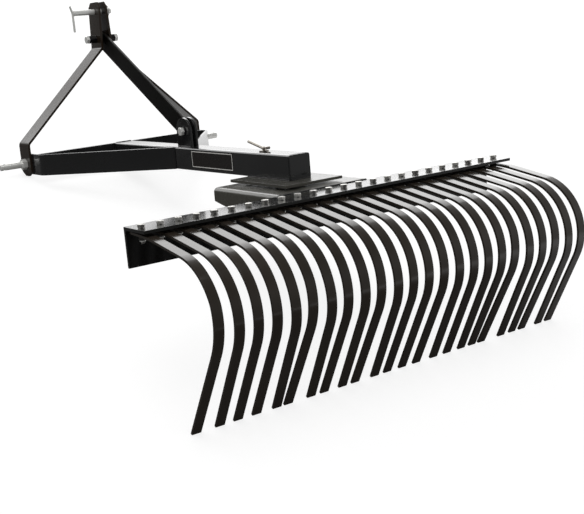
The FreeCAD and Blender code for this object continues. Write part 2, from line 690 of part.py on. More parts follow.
def make_index_pin():
    """The index pin stands drawn, its tip inside the swivel plate and clear of the channel."""
    tip = f"({SWIVEL_BASE} + index_lift)"
    grip = f"({BOOM_TOP} + index_collar_wall + index_stem)"
    shank = cylinder("index_shank", "index_size", f"{BOOM_TOP} - {tip}", tip)
    collar = cylinder("index_collar_disc", "index_collar", "index_collar_wall", BOOM_TOP)
    stem = cylinder("index_stem_rod", "index_grip", f"{grip} - {BOOM_TOP}", BOOM_TOP)
    level = FreeCAD.Vector(0, 0, number(grip))
    rise = math.radians(number("index_handle_rise"))
    up = FreeCAD.Vector(0, math.cos(rise), math.sin(rise))
    cross = rod("index_cross", "index_grip", "index_grip_length", level, X)
    handle = rod("index_handle_rod", "index_handle", "index_handle_length", level, up)
    knob = ball("index_ball", "index_knuckle", grip)
    return fuse("index_pin", [shank, collar, stem, cross, handle, knob])


# ---------------------------------------------------------------- boom and hitch frame

def outer_corner(edge):
    """The long outside corners of the boom and of its cap."""
    centre = edge.CenterOfMass
    across, up = abs(centre.x), abs(centre.z - number(PIN_Z))
    return min(across, up) > number("boom_size / 2") * 0.99


def make_boom():
    body = new_body("boom")
    front, rear = "boom_front", f"({BOOM_REAR} + boom_cap)"
    outline = new_sketch(body, "boom_outline", "XZ_Plane", lift=f"-{rear}")
    half, hollow = "(boom_size / 2)", "(boom_size / 2 - boom_wall)"
    polygon(outline, [(f"-{half}", BOOM_BASE), (half, BOOM_BASE), (half, BOOM_TOP), (f"-{half}", BOOM_TOP)])
    low, high = f"{BOOM_BASE} + boom_wall", f"{BOOM_TOP} - boom_wall"
    polygon(outline, [(f"-{hollow}", low), (hollow, low), (hollow, high), (f"-{hollow}", high)])
    pad(body, outline, f"{front} - {rear}", backwards=True)
    fillet_edges(body, "boom_corner", outer_corner)
    hole = new_sketch(body, "boom_hole", "XY_Plane")
    circle(hole, "0", "king_offset + index_radius", "index_hole")
    cut_through(body, hole)
    return body


def make_boom_end_cap():
    body = new_body("boom_end_cap")
    outline = new_sketch(body, "cap_outline", "XZ_Plane", lift=f"-{BOOM_REAR}")
    half = "(boom_size / 2)"
    polygon(outline, [(f"-{half}", BOOM_BASE), (half, BOOM_BASE), (half, BOOM_TOP), (f"-{half}", BOOM_TOP)])
    pad(body, outline, "boom_cap", backwards=True)
    fillet_edges(body, "boom_corner", outer_corner)
    return body


def make_crossbar():
    body = new_body("crossbar")
    outline = new_sketch(body, "crossbar_outline", "XZ_Plane", lift="-boom_front")
    polygon(outline, [(f"-{ARM_INSIDE}", BOOM_BASE), (ARM_INSIDE, BOOM_BASE),
                      (ARM_INSIDE, BOOM_TOP), (f"-{ARM_INSIDE}", BOOM_TOP)])
    pad(body, outline, "cross_wall", backwards=True)
    return body


def make_arm(name, hand):
    """A side arm, from the boom's side out to the hitch pin. hand is "-" on the left, "" on the right."""
    body = new_body(name)
    outline = new_sketch(body, name + "_outline", "XY_Plane", lift=BOOM_BASE)
    bent_bar(outline,
             [(f"{hand}(boom_size / 2)", "arm_root"), (f"{hand}{ARM_FACE}", "arm_elbow"),
              (f"{hand}{ARM_FACE}", f"{PIN_Y} + arm_nose")],
             ["arm_bend"], "arm_wall", side=-1 if hand else 1, square_start=False)
    pad(body, outline, "boom_size")
    hole = new_sketch(body, name + "_hole", "YZ_Plane")
    circle(hole, PIN_Y, PIN_Z, "pin_hole")
    cut_through(body, hole)
    return body


def make_leg(name, hand):
    """A mast leg: up from the hitch pin, in to the middle, and up again as a top plate."""
    body = new_body(name)
    outline = new_sketch(body, name + "_outline", "XZ_Plane", lift=f"-{PIN_Y}")
    foot, head = f"({PIN_Z} - leg_foot)", LEG_TOP
    shoulder = "(leg_gap / 2 + leg_wall)"
    lean = "((mast_above + link_above + leg_over) * tan(leg_lean))"
    bent_bar(outline,
             [(f"{hand}(hitch_spread / 2)", foot), (f"{hand}(hitch_spread / 2)", f"{PIN_Z} + leg_knee"),
              (f"{hand}{shoulder}", f"{PIN_Z} + leg_shoulder"), (f"{hand}({shoulder} - {lean})", head)],
             ["leg_bend", "leg_bend"], "leg_wall", side=-1 if hand else 1)
    pad(body, outline, "leg_width", symmetric=True)
    trim = new_sketch(body, name + "_trim", "YZ_Plane")
    over = f"({head} + leg_wall)"
    for edge in ("-", "+"):
        side = f"({PIN_Y} {edge} leg_width / 2)"
        inward = "+" if edge == "-" else "-"
        polygon(trim, [(f"{side} {inward} foot_chamfer", foot), (side, foot), (side, f"{foot} + foot_rise")])
        polygon(trim, [(f"{side} {inward} head_chamfer", over), (f"{side} {inward} head_chamfer", head),
                       (side, f"{head} - head_drop"), (side, over)])
    cut_through(body, trim)
    holes = new_sketch(body, name + "_holes", "YZ_Plane")
    circle(holes, PIN_Y, PIN_Z, "pin_hole")
    circle(holes, PIN_Y, MAST_Z, "mast_hole")
    circle(holes, PIN_Y, LINK_Z, "link_hole")
    cut_through(body, holes)
    return body


def make_brace():
    body = new_body("brace")
    outline = new_sketch(body, "brace_outline", "YZ_Plane")
    obround(outline, [(PIN_Y, MAST_Z), ("lug_ahead", LUG_Z)], "brace_width / 2")
    circle(outline, PIN_Y, MAST_Z, "mast_hole")
    circle(outline, "lug_ahead", LUG_Z, "lug_hole")
    pad(body, outline, "brace_wall", symmetric=True)
    return body


def make_lug(name, hand):
    body = new_body(name)
    outline = new_sketch(body, name + "_outline", "YZ_Plane", lift=f"{hand}(brace_wall / 2 + lug_play)")
    tongue(outline, "lug_ahead", LUG_Z, "lug_width", BOOM_TOP)
    circle(outline, "lug_ahead", LUG_Z, "lug_hole")
    pad(body, outline, "lug_wall", backwards=bool(hand))
    return body


# ---------------------------------------------------------------- pins and bolts, each along its own Z

def make_lug_bolt():
    """Head on the left, so local +Z points to the right ear."""
    stack = "(brace_wall / 2 + lug_play + lug_wall)"
    head = hexagon("lug_bolt_head", "lug_flats", "lug_head", f"-{stack} - lug_washer_wall - lug_head")
    near = cylinder("lug_bolt_washer", "lug_washer", "lug_washer_wall", f"-{stack} - lug_washer_wall")
    shank = cylinder("lug_bolt_shank", "lug_size",
                     f"2 * {stack} + 2 * lug_washer_wall + lug_nut + lug_tail", f"-{stack} - lug_washer_wall")
    far = cylinder("lug_nut_washer", "lug_washer", "lug_washer_wall", stack)
    nut = hexagon("lug_nut_body", "lug_flats", "lug_nut", f"{stack} + lug_washer_wall")
    return fuse("lug_bolt", [head, near, shank, far, nut])


def make_mast_bolt():
    side = f"({MAST_OUTSIDE} + mast_sleeve_length)"
    head = hexagon("mast_bolt_head", "mast_flats", "mast_head", f"-{side} - mast_head")
    shank = cylinder("mast_bolt_shank", "mast_size", f"2 * {side} + mast_nut", f"-{side}")
    nut = hexagon("mast_bolt_nut", "mast_flats", "mast_nut", side)
    return fuse("mast_bolt", [head, shank, nut])


def make_mast_sleeves():
    """Two sleeves outside the mast's bars and two spacers beside the brace, all on the mast bolt."""
    spacer = f"({MAST_INSIDE} - brace_wall / 2)"
    rings = [("left_sleeve", "mast_sleeve_length", f"-{MAST_OUTSIDE} - mast_sleeve_length"),
             ("left_spacer", spacer, f"-{MAST_INSIDE}"),
             ("right_spacer", spacer, "brace_wall / 2"),
             ("right_sleeve", "mast_sleeve_length", MAST_OUTSIDE)]
    tubes = []
    for name, length, base in rings:
        tube = cylinder(name + "_tube", "mast_sleeve", length, base)
        bore = cylinder(name + "_bore", "mast_size", length, base)
        tubes.append(cut(name, tube, bore))
    return group("mast_sleeves", tubes)


def make_top_link_pin():
    """Local +Z points to the right; the handle is at the left end, the linch pin hole at the right."""
    shank = cylinder("link_shank", "link_size", "link_left + link_right", "-link_left")
    end = FreeCAD.Vector(0, 0, -number("link_left"))
    lean = math.radians(number("link_handle_bend"))
    up = FreeCAD.Vector(-math.cos(lean), 0, -math.sin(lean))
    upper = rod("link_handle_upper", "link_handle", "link_handle_up", end, up)
    lower = rod("link_handle_lower", "link_handle", "link_handle_down", end, X)
    knuckle = ball("link_handle_knuckle", "link_handle", "-link_left")
    below = FreeCAD.Vector(-number("link_size"), 0, number("link_key_at"))
    key = rod("link_key_hole", "link_key", "2 * link_size", below, X)
    return cut("top_link_pin", fuse("link_pin_body", [shank, upper, lower, knuckle]), key)


def make_linch_pin():
    """The linch pin stands in the top link pin, its ring snapped over both of its ends."""
    shank = cylinder("linch_shank", "linch_size", "linch_length", "-linch_length / 2")
    ring = doc.addObject("Part::Torus", "linch_ring")
    bind(ring, "Radius1", "linch_length / 2")
    bind(ring, "Radius2", "linch_wire / 2")
    ring.Placement = FreeCAD.Placement(FreeCAD.Vector(), FreeCAD.Rotation(Y, 90))
    return fuse("linch_pin", [shank, ring])


def make_lower_pin(name):
    """Local +Z points out of the leg; z = 0 on the leg's outside face."""
    stack = "(leg_wall + arm_wall + stud_nut + stud_tail)"
    stud = cylinder(name + "_stud", "pin_stud", stack, f"-{stack}")
    shoulder = hexagon(name + "_shoulder", "pin_flats", "pin_shoulder")
    shank = cylinder(name + "_shank", "pin_size", "pin_reach - pin_chamfer", "pin_shoulder")
    nose = doc.addObject("Part::Cone", name + "_nose")
    bind(nose, "Radius1", "pin_size / 2")
    bind(nose, "Radius2", "pin_size / 2 - pin_chamfer")
    bind(nose, "Height", "pin_chamfer")
    bind(nose, "Placement.Base.z", "pin_shoulder + pin_reach - pin_chamfer")
    below = FreeCAD.Vector(-number("pin_size"), 0, number("pin_shoulder + pin_reach - pin_key_end"))
    key = rod(name + "_key_hole", "pin_key", "2 * pin_size", below, X)
    return cut(name, fuse(name + "_body", [stud, shoulder, shank, nose]), key)


def make_stud_nut(name):
    base = "(-leg_wall - arm_wall - stud_nut)"
    blank = hexagon(name + "_blank", "stud_flats", "stud_nut", base)
    bore = cylinder(name + "_bore", "pin_stud", "stud_nut", base)
    return cut(name, blank, bore)


# ---------------------------------------------------------------- assembly, level

LEVEL = FreeCAD.Placement()
TO_RIGHT = FreeCAD.Rotation(Y, 90)
TO_LEFT = FreeCAD.Rotation(Y, -90)


def at(across, ahead, up, turn=FreeCAD.Rotation()):
    return FreeCAD.Placement(FreeCAD.Vector(number(across), number(ahead), number(up)), turn)


pieces = {}


def add(piece, placement=LEVEL):
    pieces[piece.Label] = (piece, placement)


add(make_beam())
add(make_pivot_channel())
add(make_tine_bolts())
add(make_tine_nuts())
add(make_tine_spacers())
for count in range(1, int(number("tine_count")) + 1):
    tine = make_tine(f"tine_{count:02d}", TINE_STRAY.get(count, 0))
    add(tine, at(f"{FIRST_BOLT} + {count - 1} * tine_pitch", "0", "0"))

add(make_swivel_plate())
add(make_thrust_washer(), at("0", "king_offset", "0"))
king_pin, king_nut = make_king_pin()
add(king_pin, at("0", "king_offset", f"{KING_LOW} - king_tail"))
add(king_nut, at("0", "king_offset", "0"))
add(make_index_pin(), at("0", "king_offset + index_radius", "0"))

add(make_boom())
add(make_boom_end_cap())
add(make_crossbar())
add(make_brace())
add(make_lug_bolt(), at("0", "lug_ahead", LUG_Z, TO_RIGHT))
add(make_mast_bolt(), at("0", PIN_Y, MAST_Z, TO_RIGHT))
add(make_mast_sleeves(), at("0", PIN_Y, MAST_Z, TO_RIGHT))
add(make_top_link_pin(), at("0", PIN_Y, LINK_Z, TO_RIGHT))
add(make_linch_pin(), at("link_key_at", PIN_Y, LINK_Z))
for side, hand, outward in (("left", "-", TO_LEFT), ("right", "", TO_RIGHT)):
    add(make_arm(f"arm_{side}", hand))
    add(make_leg(f"mast_leg_{side}", hand))
    add(make_lug(f"brace_lug_{side}", hand))
    seat = at(f"{hand}(hitch_spread / 2)", PIN_Y, PIN_Z, outward)
    add(make_lower_pin(f"lower_pin_{side}"), seat)
    add(make_stud_nut(f"lower_pin_nut_{side}"), seat)
doc.recompute()


# ---------------------------------------------------------------- parked on the tine tips and the mast feet

tip_y, tip_z = number(TIP_Y), number(TIP_Z)
foot_y = number(f"{PIN_Y} + leg_width / 2 - foot_chamfer")
foot_z = number(f"{PIN_Z} - leg_foot")
nose_down = math.degrees(math.atan2(foot_z - tip_z, foot_y - tip_y))
park = FreeCAD.Placement(FreeCAD.Vector(), FreeCAD.Rotation(X, -nose_down))

for piece, placement in pieces.values():
    piece.Placement = park.multiply(placement)
doc.recompute()

box = FreeCAD.BoundBox()
for piece, placement in pieces.values():
    box.add(piece.Shape.optimalBoundingBox(False))
ground = FreeCAD.Vector(-(box.XMin + box.XMax) / 2, -(box.YMin + box.YMax) / 2, -box.ZMin)
park.move(ground)
for piece, placement in pieces.values():
    piece.Placement = park.multiply(placement)
doc.recompute()


# ---------------------------------------------------------------- checks and export

for thing in doc.Objects:
    if {"Invalid", "Error"} & set(thing.State):
        raise ValueError(f"{thing.Label}: {thing.State}")

os.makedirs("parts", exist_ok=True)
volume = 0
for name, (piece, placement) in pieces.items():
    if piece.Shape.isNull() or not piece.Shape.isValid():
        raise ValueError(f"{name} has no valid shape")
    volume += piece.Shape.Volume
    piece.Shape.exportStep(f"parts/{name}.step")

SPOTS = {
    "king pin": ("0", "king_offset", "0"),
    "lower pin left": ("-hitch_spread / 2 - pin_shoulder - pin_reach / 2", PIN_Y, PIN_Z),
    "lower pin right": ("hitch_spread / 2 + pin_shoulder + pin_reach / 2", PIN_Y, PIN_Z),
    "top link pin": ("0", PIN_Y, LINK_Z),
}
print(f"{len(pieces)} pieces, steel volume {volume / 1e9:.5f} m3, nose down {nose_down:.2f} degrees")
print(f"size {box.XLength:.1f} x {box.YLength:.1f} x {box.ZLength:.1f} mm")
for name, spot in SPOTS.items():
    print(name, [round(value, 2) for value in park.multVec(at(*spot).Base)])
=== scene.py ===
# %% [markdown]
# # A landscape rake, dressed
# A landscape rake hangs on a tractor's three-point hitch: a mast and two arms carry a square boom, and
# a beam of curved spring tines swivels under the boom's end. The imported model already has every
# part in its place and at its size, so this lesson adds what a drawing office leaves out: broken edges,
# weld beads, threads, paint and wear. We start by loading that model as a fixed frame.

# %% Load the frame
import json
import math
import random

import bmesh
import bpy
from mathutils import Matrix, Vector


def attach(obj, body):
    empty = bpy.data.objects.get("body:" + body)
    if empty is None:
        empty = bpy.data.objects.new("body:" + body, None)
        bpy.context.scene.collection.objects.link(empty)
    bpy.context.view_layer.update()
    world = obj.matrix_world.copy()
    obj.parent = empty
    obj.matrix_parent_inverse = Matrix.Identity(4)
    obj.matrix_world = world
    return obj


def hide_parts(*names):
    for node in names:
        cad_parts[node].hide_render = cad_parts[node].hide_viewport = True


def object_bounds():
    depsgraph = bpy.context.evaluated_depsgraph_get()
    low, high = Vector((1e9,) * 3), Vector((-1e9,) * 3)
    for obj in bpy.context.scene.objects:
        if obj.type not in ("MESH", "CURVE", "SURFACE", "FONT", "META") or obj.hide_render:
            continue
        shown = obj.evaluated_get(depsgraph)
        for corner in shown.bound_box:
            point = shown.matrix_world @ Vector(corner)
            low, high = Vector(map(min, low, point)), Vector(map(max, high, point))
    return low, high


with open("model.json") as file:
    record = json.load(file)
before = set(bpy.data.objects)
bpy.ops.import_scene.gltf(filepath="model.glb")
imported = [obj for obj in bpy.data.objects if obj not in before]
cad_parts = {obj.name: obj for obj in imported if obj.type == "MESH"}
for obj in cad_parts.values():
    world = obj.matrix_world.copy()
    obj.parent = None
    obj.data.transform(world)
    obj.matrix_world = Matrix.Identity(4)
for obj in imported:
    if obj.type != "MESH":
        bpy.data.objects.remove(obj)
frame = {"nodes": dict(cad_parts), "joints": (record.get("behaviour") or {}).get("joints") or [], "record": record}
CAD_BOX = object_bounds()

MM = 0.001
print("nodes", len(frame["nodes"]), "box", [[round(v, 3) for v in corner] for corner in CAD_BOX])

# %% [markdown]
# The rake is parked nose down, on its tine tips and its mast feet, but it was made level. It is far
# easier to say "along the boom" or "on top of the flange" in the machine's own level frame, so we build
# one matrix that carries level millimetres to the parked place. The swivel joint gives us both things
# it needs: a point on the king pin's axis, and that axis, which is the machine's own upright.

# %% The level frame
swivel = frame["joints"][0]
KING = Vector(swivel["pos_m"])
UPRIGHT = Vector(swivel["axis"]).normalized()
NOSE_DOWN = math.atan2(UPRIGHT.y, UPRIGHT.z)
LEVEL = Matrix.Translation(KING) @ Matrix.Rotation(-NOSE_DOWN, 4, "X") @ Matrix.Scale(MM, 4)
TO_LEVEL = LEVEL.inverted()


def level_box(node):
    """Lowest and highest corner of a CAD node in level millimetres, from the king pin."""
    corners = [TO_LEVEL @ v.co for v in frame["nodes"][node].data.vertices]
    low = Vector([min(c[i] for c in corners) for i in range(3)])
    high = Vector([max(c[i] for c in corners) for i in range(3)])
    return low, high


print("nose down", round(math.degrees(NOSE_DOWN), 2), "boom", level_box("boom"))

# %% [markdown]
# ## Finishes
# A painted steel bar is never one flat colour. The film has a faint orange peel, it wears through
# first where an edge is rubbed, and dust settles on what faces up. Each of these is one small node
# group with named sockets, built once and placed in every material with its own values.
# The first group finds edges: a Bevel node rounds the normal near an edge, and where that rounded normal
# leaves the true one, there is an edge. Noise breaks the line up, because wear is never even.

# %% Helpers for node groups
def new_group(name, inputs, outputs):
    """A shader node group with named float inputs {name: default} and outputs {name: socket type}."""
    group = bpy.data.node_groups.new(name, "ShaderNodeTree")
    for label, value in inputs.items():
        socket = group.interface.new_socket(label, in_out="INPUT", socket_type="NodeSocketFloat")
        socket.default_value = value
    for label, kind in outputs.items():
        group.interface.new_socket(label, in_out="OUTPUT", socket_type=kind)
    ends = group.nodes.new("NodeGroupInput"), group.nodes.new("NodeGroupOutput")
    return group, ends[0].outputs, ends[1].inputs


def node(tree, kind, links=(), **values):
    """Add a node, set its properties and sockets, and link the given (socket, source) pairs."""
    made = tree.nodes.new("ShaderNode" + kind)
    for label, value in values.items():
        if hasattr(made, label):
            setattr(made, label, value)
        else:
            made.inputs[label].default_value = value
    for socket, source in links:
        tree.links.new(source, made.inputs[socket])
    return made


def math_node(tree, operation, *values):
    """A Math node whose values are numbers or sockets."""
    made = tree.nodes.new("ShaderNodeMath")
    made.operation = operation
    for socket, value in zip(made.inputs, values):
        if isinstance(value, (int, float)):
            socket.default_value = value
        else:
            tree.links.new(value, socket)
    return made.outputs[0]


def ramp(tree, source, low, high):
    """Stretch the part of a value between low and high over 0 to 1."""
    made = node(tree, "MapRange", [("Value", source)])
    made.inputs["From Min"].default_value = low
    made.inputs["From Max"].default_value = high
    return made.outputs["Result"]


def noise(tree, scale, detail=3.0, stretch=None):
    """Noise over the object, optionally stretched; scale is a number or a socket."""
    place = node(tree, "TexCoord").outputs["Object"]
    if stretch:
        mapping = node(tree, "Mapping", [("Vector", place)])
        mapping.inputs["Scale"].default_value = stretch
        place = mapping.outputs["Vector"]
    made = node(tree, "TexNoise", [("Vector", place)], Detail=detail)
    if isinstance(scale, (int, float)):
        made.inputs["Scale"].default_value = scale
    else:
        tree.links.new(scale, made.inputs["Scale"])
    return made.outputs["Fac"]


# %% Edge wear, paint film and dust
def make_edge_wear():
    group, inputs, outputs = new_group(
        "edge_wear", {"Width": 0.002, "Grain": 60.0, "Amount": 0.5}, {"Mask": "NodeSocketFloat"})
    rounded = node(group, "Bevel", [("Radius", inputs["Width"])], samples=4)
    true = node(group, "NewGeometry").outputs["Normal"]
    dot = node(group, "VectorMath", [(0, rounded.outputs["Normal"]), (1, true)], operation="DOT_PRODUCT")
    edge = ramp(group, math_node(group, "SUBTRACT", 1.0, dot.outputs["Value"]), 0.02, 0.2)
    patches = ramp(group, noise(group, inputs["Grain"], 5.0), 0.42, 0.66)
    worn = math_node(group, "MULTIPLY", math_node(group, "MULTIPLY", edge, patches), inputs["Amount"])
    group.links.new(worn, outputs["Mask"])
    return group


def make_paint_film():
    """Orange peel for the bump, and a slow drift of sheen from the spray gun's passes."""
    group, inputs, outputs = new_group(
        "paint_film", {"Peel Scale": 900.0, "Drift Scale": 7.0},
        {"Height": "NodeSocketFloat", "Drift": "NodeSocketFloat"})
    group.links.new(noise(group, inputs["Peel Scale"], 2.0), outputs["Height"])
    group.links.new(noise(group, inputs["Drift Scale"], 4.0), outputs["Drift"])
    return group


def make_dust():
    """Fine dust: more where the surface faces up, in loose drifts and specks."""
    group, inputs, outputs = new_group(
        "settled_dust", {"Scale": 20.0, "Amount": 0.3}, {"Mask": "NodeSocketFloat"})
    facing = node(group, "SeparateXYZ", [("Vector", node(group, "NewGeometry").outputs["Normal"])])
    up = ramp(group, facing.outputs["Z"], 0.2, 1.0)
    drifts = ramp(group, noise(group, inputs["Scale"], 6.0), 0.4, 0.75)
    specks = ramp(group, noise(group, 700.0, 1.0), 0.6, 0.8)
    both = math_node(group, "ADD", drifts, math_node(group, "MULTIPLY", specks, 0.5))
    mask = math_node(group, "MULTIPLY", math_node(group, "MULTIPLY", up, both), inputs["Amount"])
    group.links.new(mask, outputs["Mask"])
    return group


def make_scratches():
    """Fine scratches along the machine's length, in patches."""
    group, inputs, outputs = new_group(
        "rub_marks", {"Scale": 30.0, "Amount": 0.3}, {"Mask": "NodeSocketFloat"})
    lines = ramp(group, noise(group, inputs["Scale"], 2.0, (30.0, 1.2, 30.0)), 0.66, 0.72)
    patches = ramp(group, noise(group, 9.0, 3.0), 0.45, 0.65)
    mask = math_node(group, "MULTIPLY", math_node(group, "MULTIPLY", lines, patches), inputs["Amount"])
    group.links.new(mask, outputs["Mask"])
    return group


EDGE_WEAR = make_edge_wear()
PAINT_FILM = make_paint_film()
DUST = make_dust()
RUBBED = make_scratches()
print("node groups", [group.name for group in bpy.data.node_groups])


# %% [markdown]
# The black paint is the same recipe on every painted part: a dark base, a thin glossy coat, and the
# groups above mixed in. The boom, beam, plates, mast legs, brace and tines each differ a little in tone
# and gloss, so the recipe is a function with a few named values. A low index of refraction keeps the
# faces that are seen square on dark. Pins, bolts and zinc plate get their own, metallic recipe.

# %% Paint and plate recipes
def use(tree, group, **values):
    made = tree.nodes.new("ShaderNodeGroup")
    made.node_tree = group
    for label, value in values.items():
        made.inputs[label.replace("_", " ")].default_value = value
    return made.outputs


def mix_colour(tree, mask, base, over):
    made = tree.nodes.new("ShaderNodeMix")
    made.data_type = "RGBA"
    tree.links.new(mask, made.inputs["Factor"])
    for socket, colour in ((made.inputs["A"], base), (made.inputs["B"], over)):
        if isinstance(colour, tuple):
            socket.default_value = (*colour, 1.0)
        else:
            tree.links.new(colour, socket)
    return made.outputs["Result"]


def new_material(name):
    material = bpy.data.materials.new(name)
    material.use_nodes = True
    tree = material.node_tree
    return material, tree, tree.nodes["Principled BSDF"]


BARE_STEEL, DUST_COLOUR, EDGE_WIDTH = (0.16, 0.15, 0.14), (0.30, 0.28, 0.25), 0.0016


def paint(name, colour, sheen, peel=0.04, wear=0.1, dust=0.12, rub=0.2, ior=1.34, coat=0.0,
          coat_rough=0.1):
    """Spray paint over steel. sheen is (smoothest, roughest) roughness."""
    material, tree, shader = new_material(name)
    film = use(tree, PAINT_FILM)
    worn = use(tree, EDGE_WEAR, Width=EDGE_WIDTH, Amount=wear)
    rubbed = use(tree, RUBBED, Amount=rub)
    dusty = use(tree, DUST, Amount=dust)
    light = tuple(min(1.0, c * 1.7) for c in colour)
    base = mix_colour(tree, film["Drift"], colour, light)
    base = mix_colour(tree, rubbed["Mask"], base, tuple(c * 3 + 0.01 for c in colour))
    base = mix_colour(tree, worn["Mask"], base, BARE_STEEL)
    base = mix_colour(tree, dusty["Mask"], base, DUST_COLOUR)
    tree.links.new(base, shader.inputs["Base Color"])
    spread = node(tree, "MapRange", [("Value", film["Drift"])])
    spread.inputs["To Min"].default_value, spread.inputs["To Max"].default_value = sheen
    dulled = math_node(tree, "MULTIPLY", dusty["Mask"], 0.5)
    rough = math_node(tree, "ADD", spread.outputs["Result"], dulled)
    tree.links.new(rough, shader.inputs["Roughness"])
    bump = node(tree, "Bump", [("Height", film["Height"])], Strength=peel, Distance=0.0004)
    tree.links.new(bump.outputs["Normal"], shader.inputs["Normal"])
    shader.inputs["IOR"].default_value = ior
    shader.inputs["Coat Weight"].default_value = coat
    shader.inputs["Coat Roughness"].default_value = coat_rough
    shader.inputs["Coat IOR"].default_value = ior
    return material


def plate(name, colour, rough, mottle=0.25, grain=70.0, metal=0.75):
    """Plated or bare steel: mostly metallic, mottled, brighter where its corners are rubbed."""
    material, tree, shader = new_material(name)
    film = use(tree, PAINT_FILM, Peel_Scale=grain * 12, Drift_Scale=grain)
    dark = tuple(c * (1 - mottle) for c in colour)
    base = mix_colour(tree, film["Drift"], dark, colour)
    worn = use(tree, EDGE_WEAR, Width=0.001, Amount=0.5)
    base = mix_colour(tree, worn["Mask"], base, tuple(min(1.0, c * 1.25) for c in colour))
    tree.links.new(base, shader.inputs["Base Color"])
    shader.inputs["Metallic"].default_value = metal
    spread = node(tree, "MapRange", [("Value", film["Drift"])])
    spread.inputs["To Min"].default_value = rough * 0.75
    spread.inputs["To Max"].default_value = rough * 1.3
    tree.links.new(spread.outputs["Result"], shader.inputs["Roughness"])
    bump = node(tree, "Bump", [("Height", film["Height"])], Strength=0.06, Distance=0.0003)
    tree.links.new(bump.outputs["Normal"], shader.inputs["Normal"])
    return material


FRAME_PAINT = paint("frame_paint", (0.0110, 0.0112, 0.0114), (0.1, 0.17), dust=0.03, coat=1.0,
                    coat_rough=0.06)
PLATE_PAINT = paint("plate_paint", (0.048, 0.0465, 0.039), (0.2, 0.34), peel=0.08, coat=0.6)
LEG_PAINT = paint("leg_paint", (0.016, 0.0108, 0.007), (0.14, 0.22), peel=0.12, dust=0.03, rub=0.06,
                  ior=1.46)
BRACE_PAINT = paint("brace_paint", (0.0022, 0.0018, 0.0015), (0.24, 0.34), dust=0.03, ior=1.22)
BEAM_PAINT = paint("beam_paint", (0.0052, 0.0051, 0.0048), (0.1, 0.16), dust=0.02, rub=0.03, ior=1.28,
                   coat=0.8)
# The tines' warm brown is partly their own paint and partly a painted reflection of a warm floor.
TINE_PAINT = paint("tine_paint", (0.0215, 0.0172, 0.0133), (0.12, 0.2), dust=0.02, rub=0.05, ior=1.29,
                   coat=0.5)
WELD_PAINT = paint("weld_paint", (0.003, 0.003, 0.0035), (0.26, 0.42), wear=0.03, rub=0.0)
SLEEVE_PAINT = paint("sleeve_paint", (0.003, 0.003, 0.004), (0.2, 0.3), wear=0.08, rub=0.05)
PIN_STEEL = plate("pin_steel", (0.92, 0.92, 0.89), 0.24, mottle=0.08, grain=60.0, metal=0.45)
ZINC = plate("zinc_plate", (0.62, 0.61, 0.58), 0.34, metal=0.95)
# Dark zinc for the tine nuts: its darkness is painted shade, standing in for the flange's shadow over them.
NUT_SHADE_ZINC = plate("dull_zinc", (0.10, 0.095, 0.088), 0.4, metal=0.9)
HANDLE_STEEL = plate("handle_steel", (0.40, 0.37, 0.33), 0.3, metal=1.0)
TURNED = plate("turned_steel", (0.66, 0.65, 0.62), 0.28, mottle=0.15, grain=90.0)
MATERIALS = {"frame_paint": FRAME_PAINT, "tine_paint": TINE_PAINT, "zinc": ZINC,
             "bright_steel": TURNED, "black_sleeve": SLEEVE_PAINT}
print("materials", sorted(MATERIALS))

# %% [markdown]
# ## Broken edges
# Rolled bar and cut plate have no knife edges: the mill leaves a small radius and the paint rounds it
# further. A radius faked in a material vanishes from the outline, so each bar and plate gets a copy of
# its own mesh with real bevels. The copy is welded and its flat faces are joined first, so the Bevel
# modifier meets only true edges, and the copy then stands for the plain solid.

# %% Bevelled copies of bars and plates
SLOT_OF = {part["node"]: part["material_slot"] for part in frame["record"]["subparts"]}
BODY_OF = {name: body for body, names in frame["record"]["behaviour"]["bodies"].items() for name in names}


def weighted_normals(mesh, smooth_angle):
    """Average the normals round each corner by face area, so that large flat faces stay flat."""
    limit = math.cos(math.radians(smooth_angle))
    around = [[] for _ in mesh.vertices]
    faces = [(p.normal.copy(), p.area) for p in mesh.polygons]
    for polygon in mesh.polygons:
        for vertex in polygon.vertices:
            around[vertex].append(polygon.index)
    normals = []
    for polygon in mesh.polygons:
        own = faces[polygon.index][0]
        for vertex in polygon.vertices:
            total = Vector()
            for other in around[vertex]:
                normal, area = faces[other]
                if normal.dot(own) > limit:
                    total += normal * area
            normals.append(total.normalized() if total.length > 0 else own)
    mesh.normals_split_custom_set(normals)


def finish_piece(mesh, name, body, material, smooth_angle=40.0):
    """Make the object, shade its round faces smooth and let it ride on its body."""
    mesh.materials.clear()
    mesh.materials.append(material)
    mesh.shade_smooth()
    weighted_normals(mesh, smooth_angle)
    piece = bpy.data.objects.new(name, mesh)
    bpy.context.scene.collection.objects.link(piece)
    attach(piece, body)
    return piece


WELD_WITHIN, SHORTEST_EDGE = 0.02 * MM, 0.05 * MM
FLAT_WITHIN, SHARP_FROM = math.radians(0.5), math.radians(35)


def break_edges(name, radius, material):
    """A bevelled copy of a CAD node; radius in millimetres."""
    work = bmesh.new()
    work.from_mesh(frame["nodes"][name].data)
    bmesh.ops.remove_doubles(work, verts=work.verts, dist=WELD_WITHIN)
    bmesh.ops.dissolve_limit(work, angle_limit=FLAT_WITHIN, verts=work.verts, edges=work.edges,
                             delimit={"SHARP"})
    for edge in work.edges:
        edge.smooth = True
    sharp = [e for e in work.edges if len(e.link_faces) == 2
             and e.calc_face_angle() > SHARP_FROM and e.calc_length() > SHORTEST_EDGE]
    bmesh.ops.bevel(work, geom=sharp, offset=radius * MM, offset_type="OFFSET", segments=2,
                    profile=0.5, affect="EDGES", clamp_overlap=True, material=-1)
    mesh = bpy.data.meshes.new(name + "_steel")
    work.to_mesh(mesh)
    work.free()
    piece = finish_piece(mesh, name + "_steel", BODY_OF[name], material)
    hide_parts(name)
    return piece


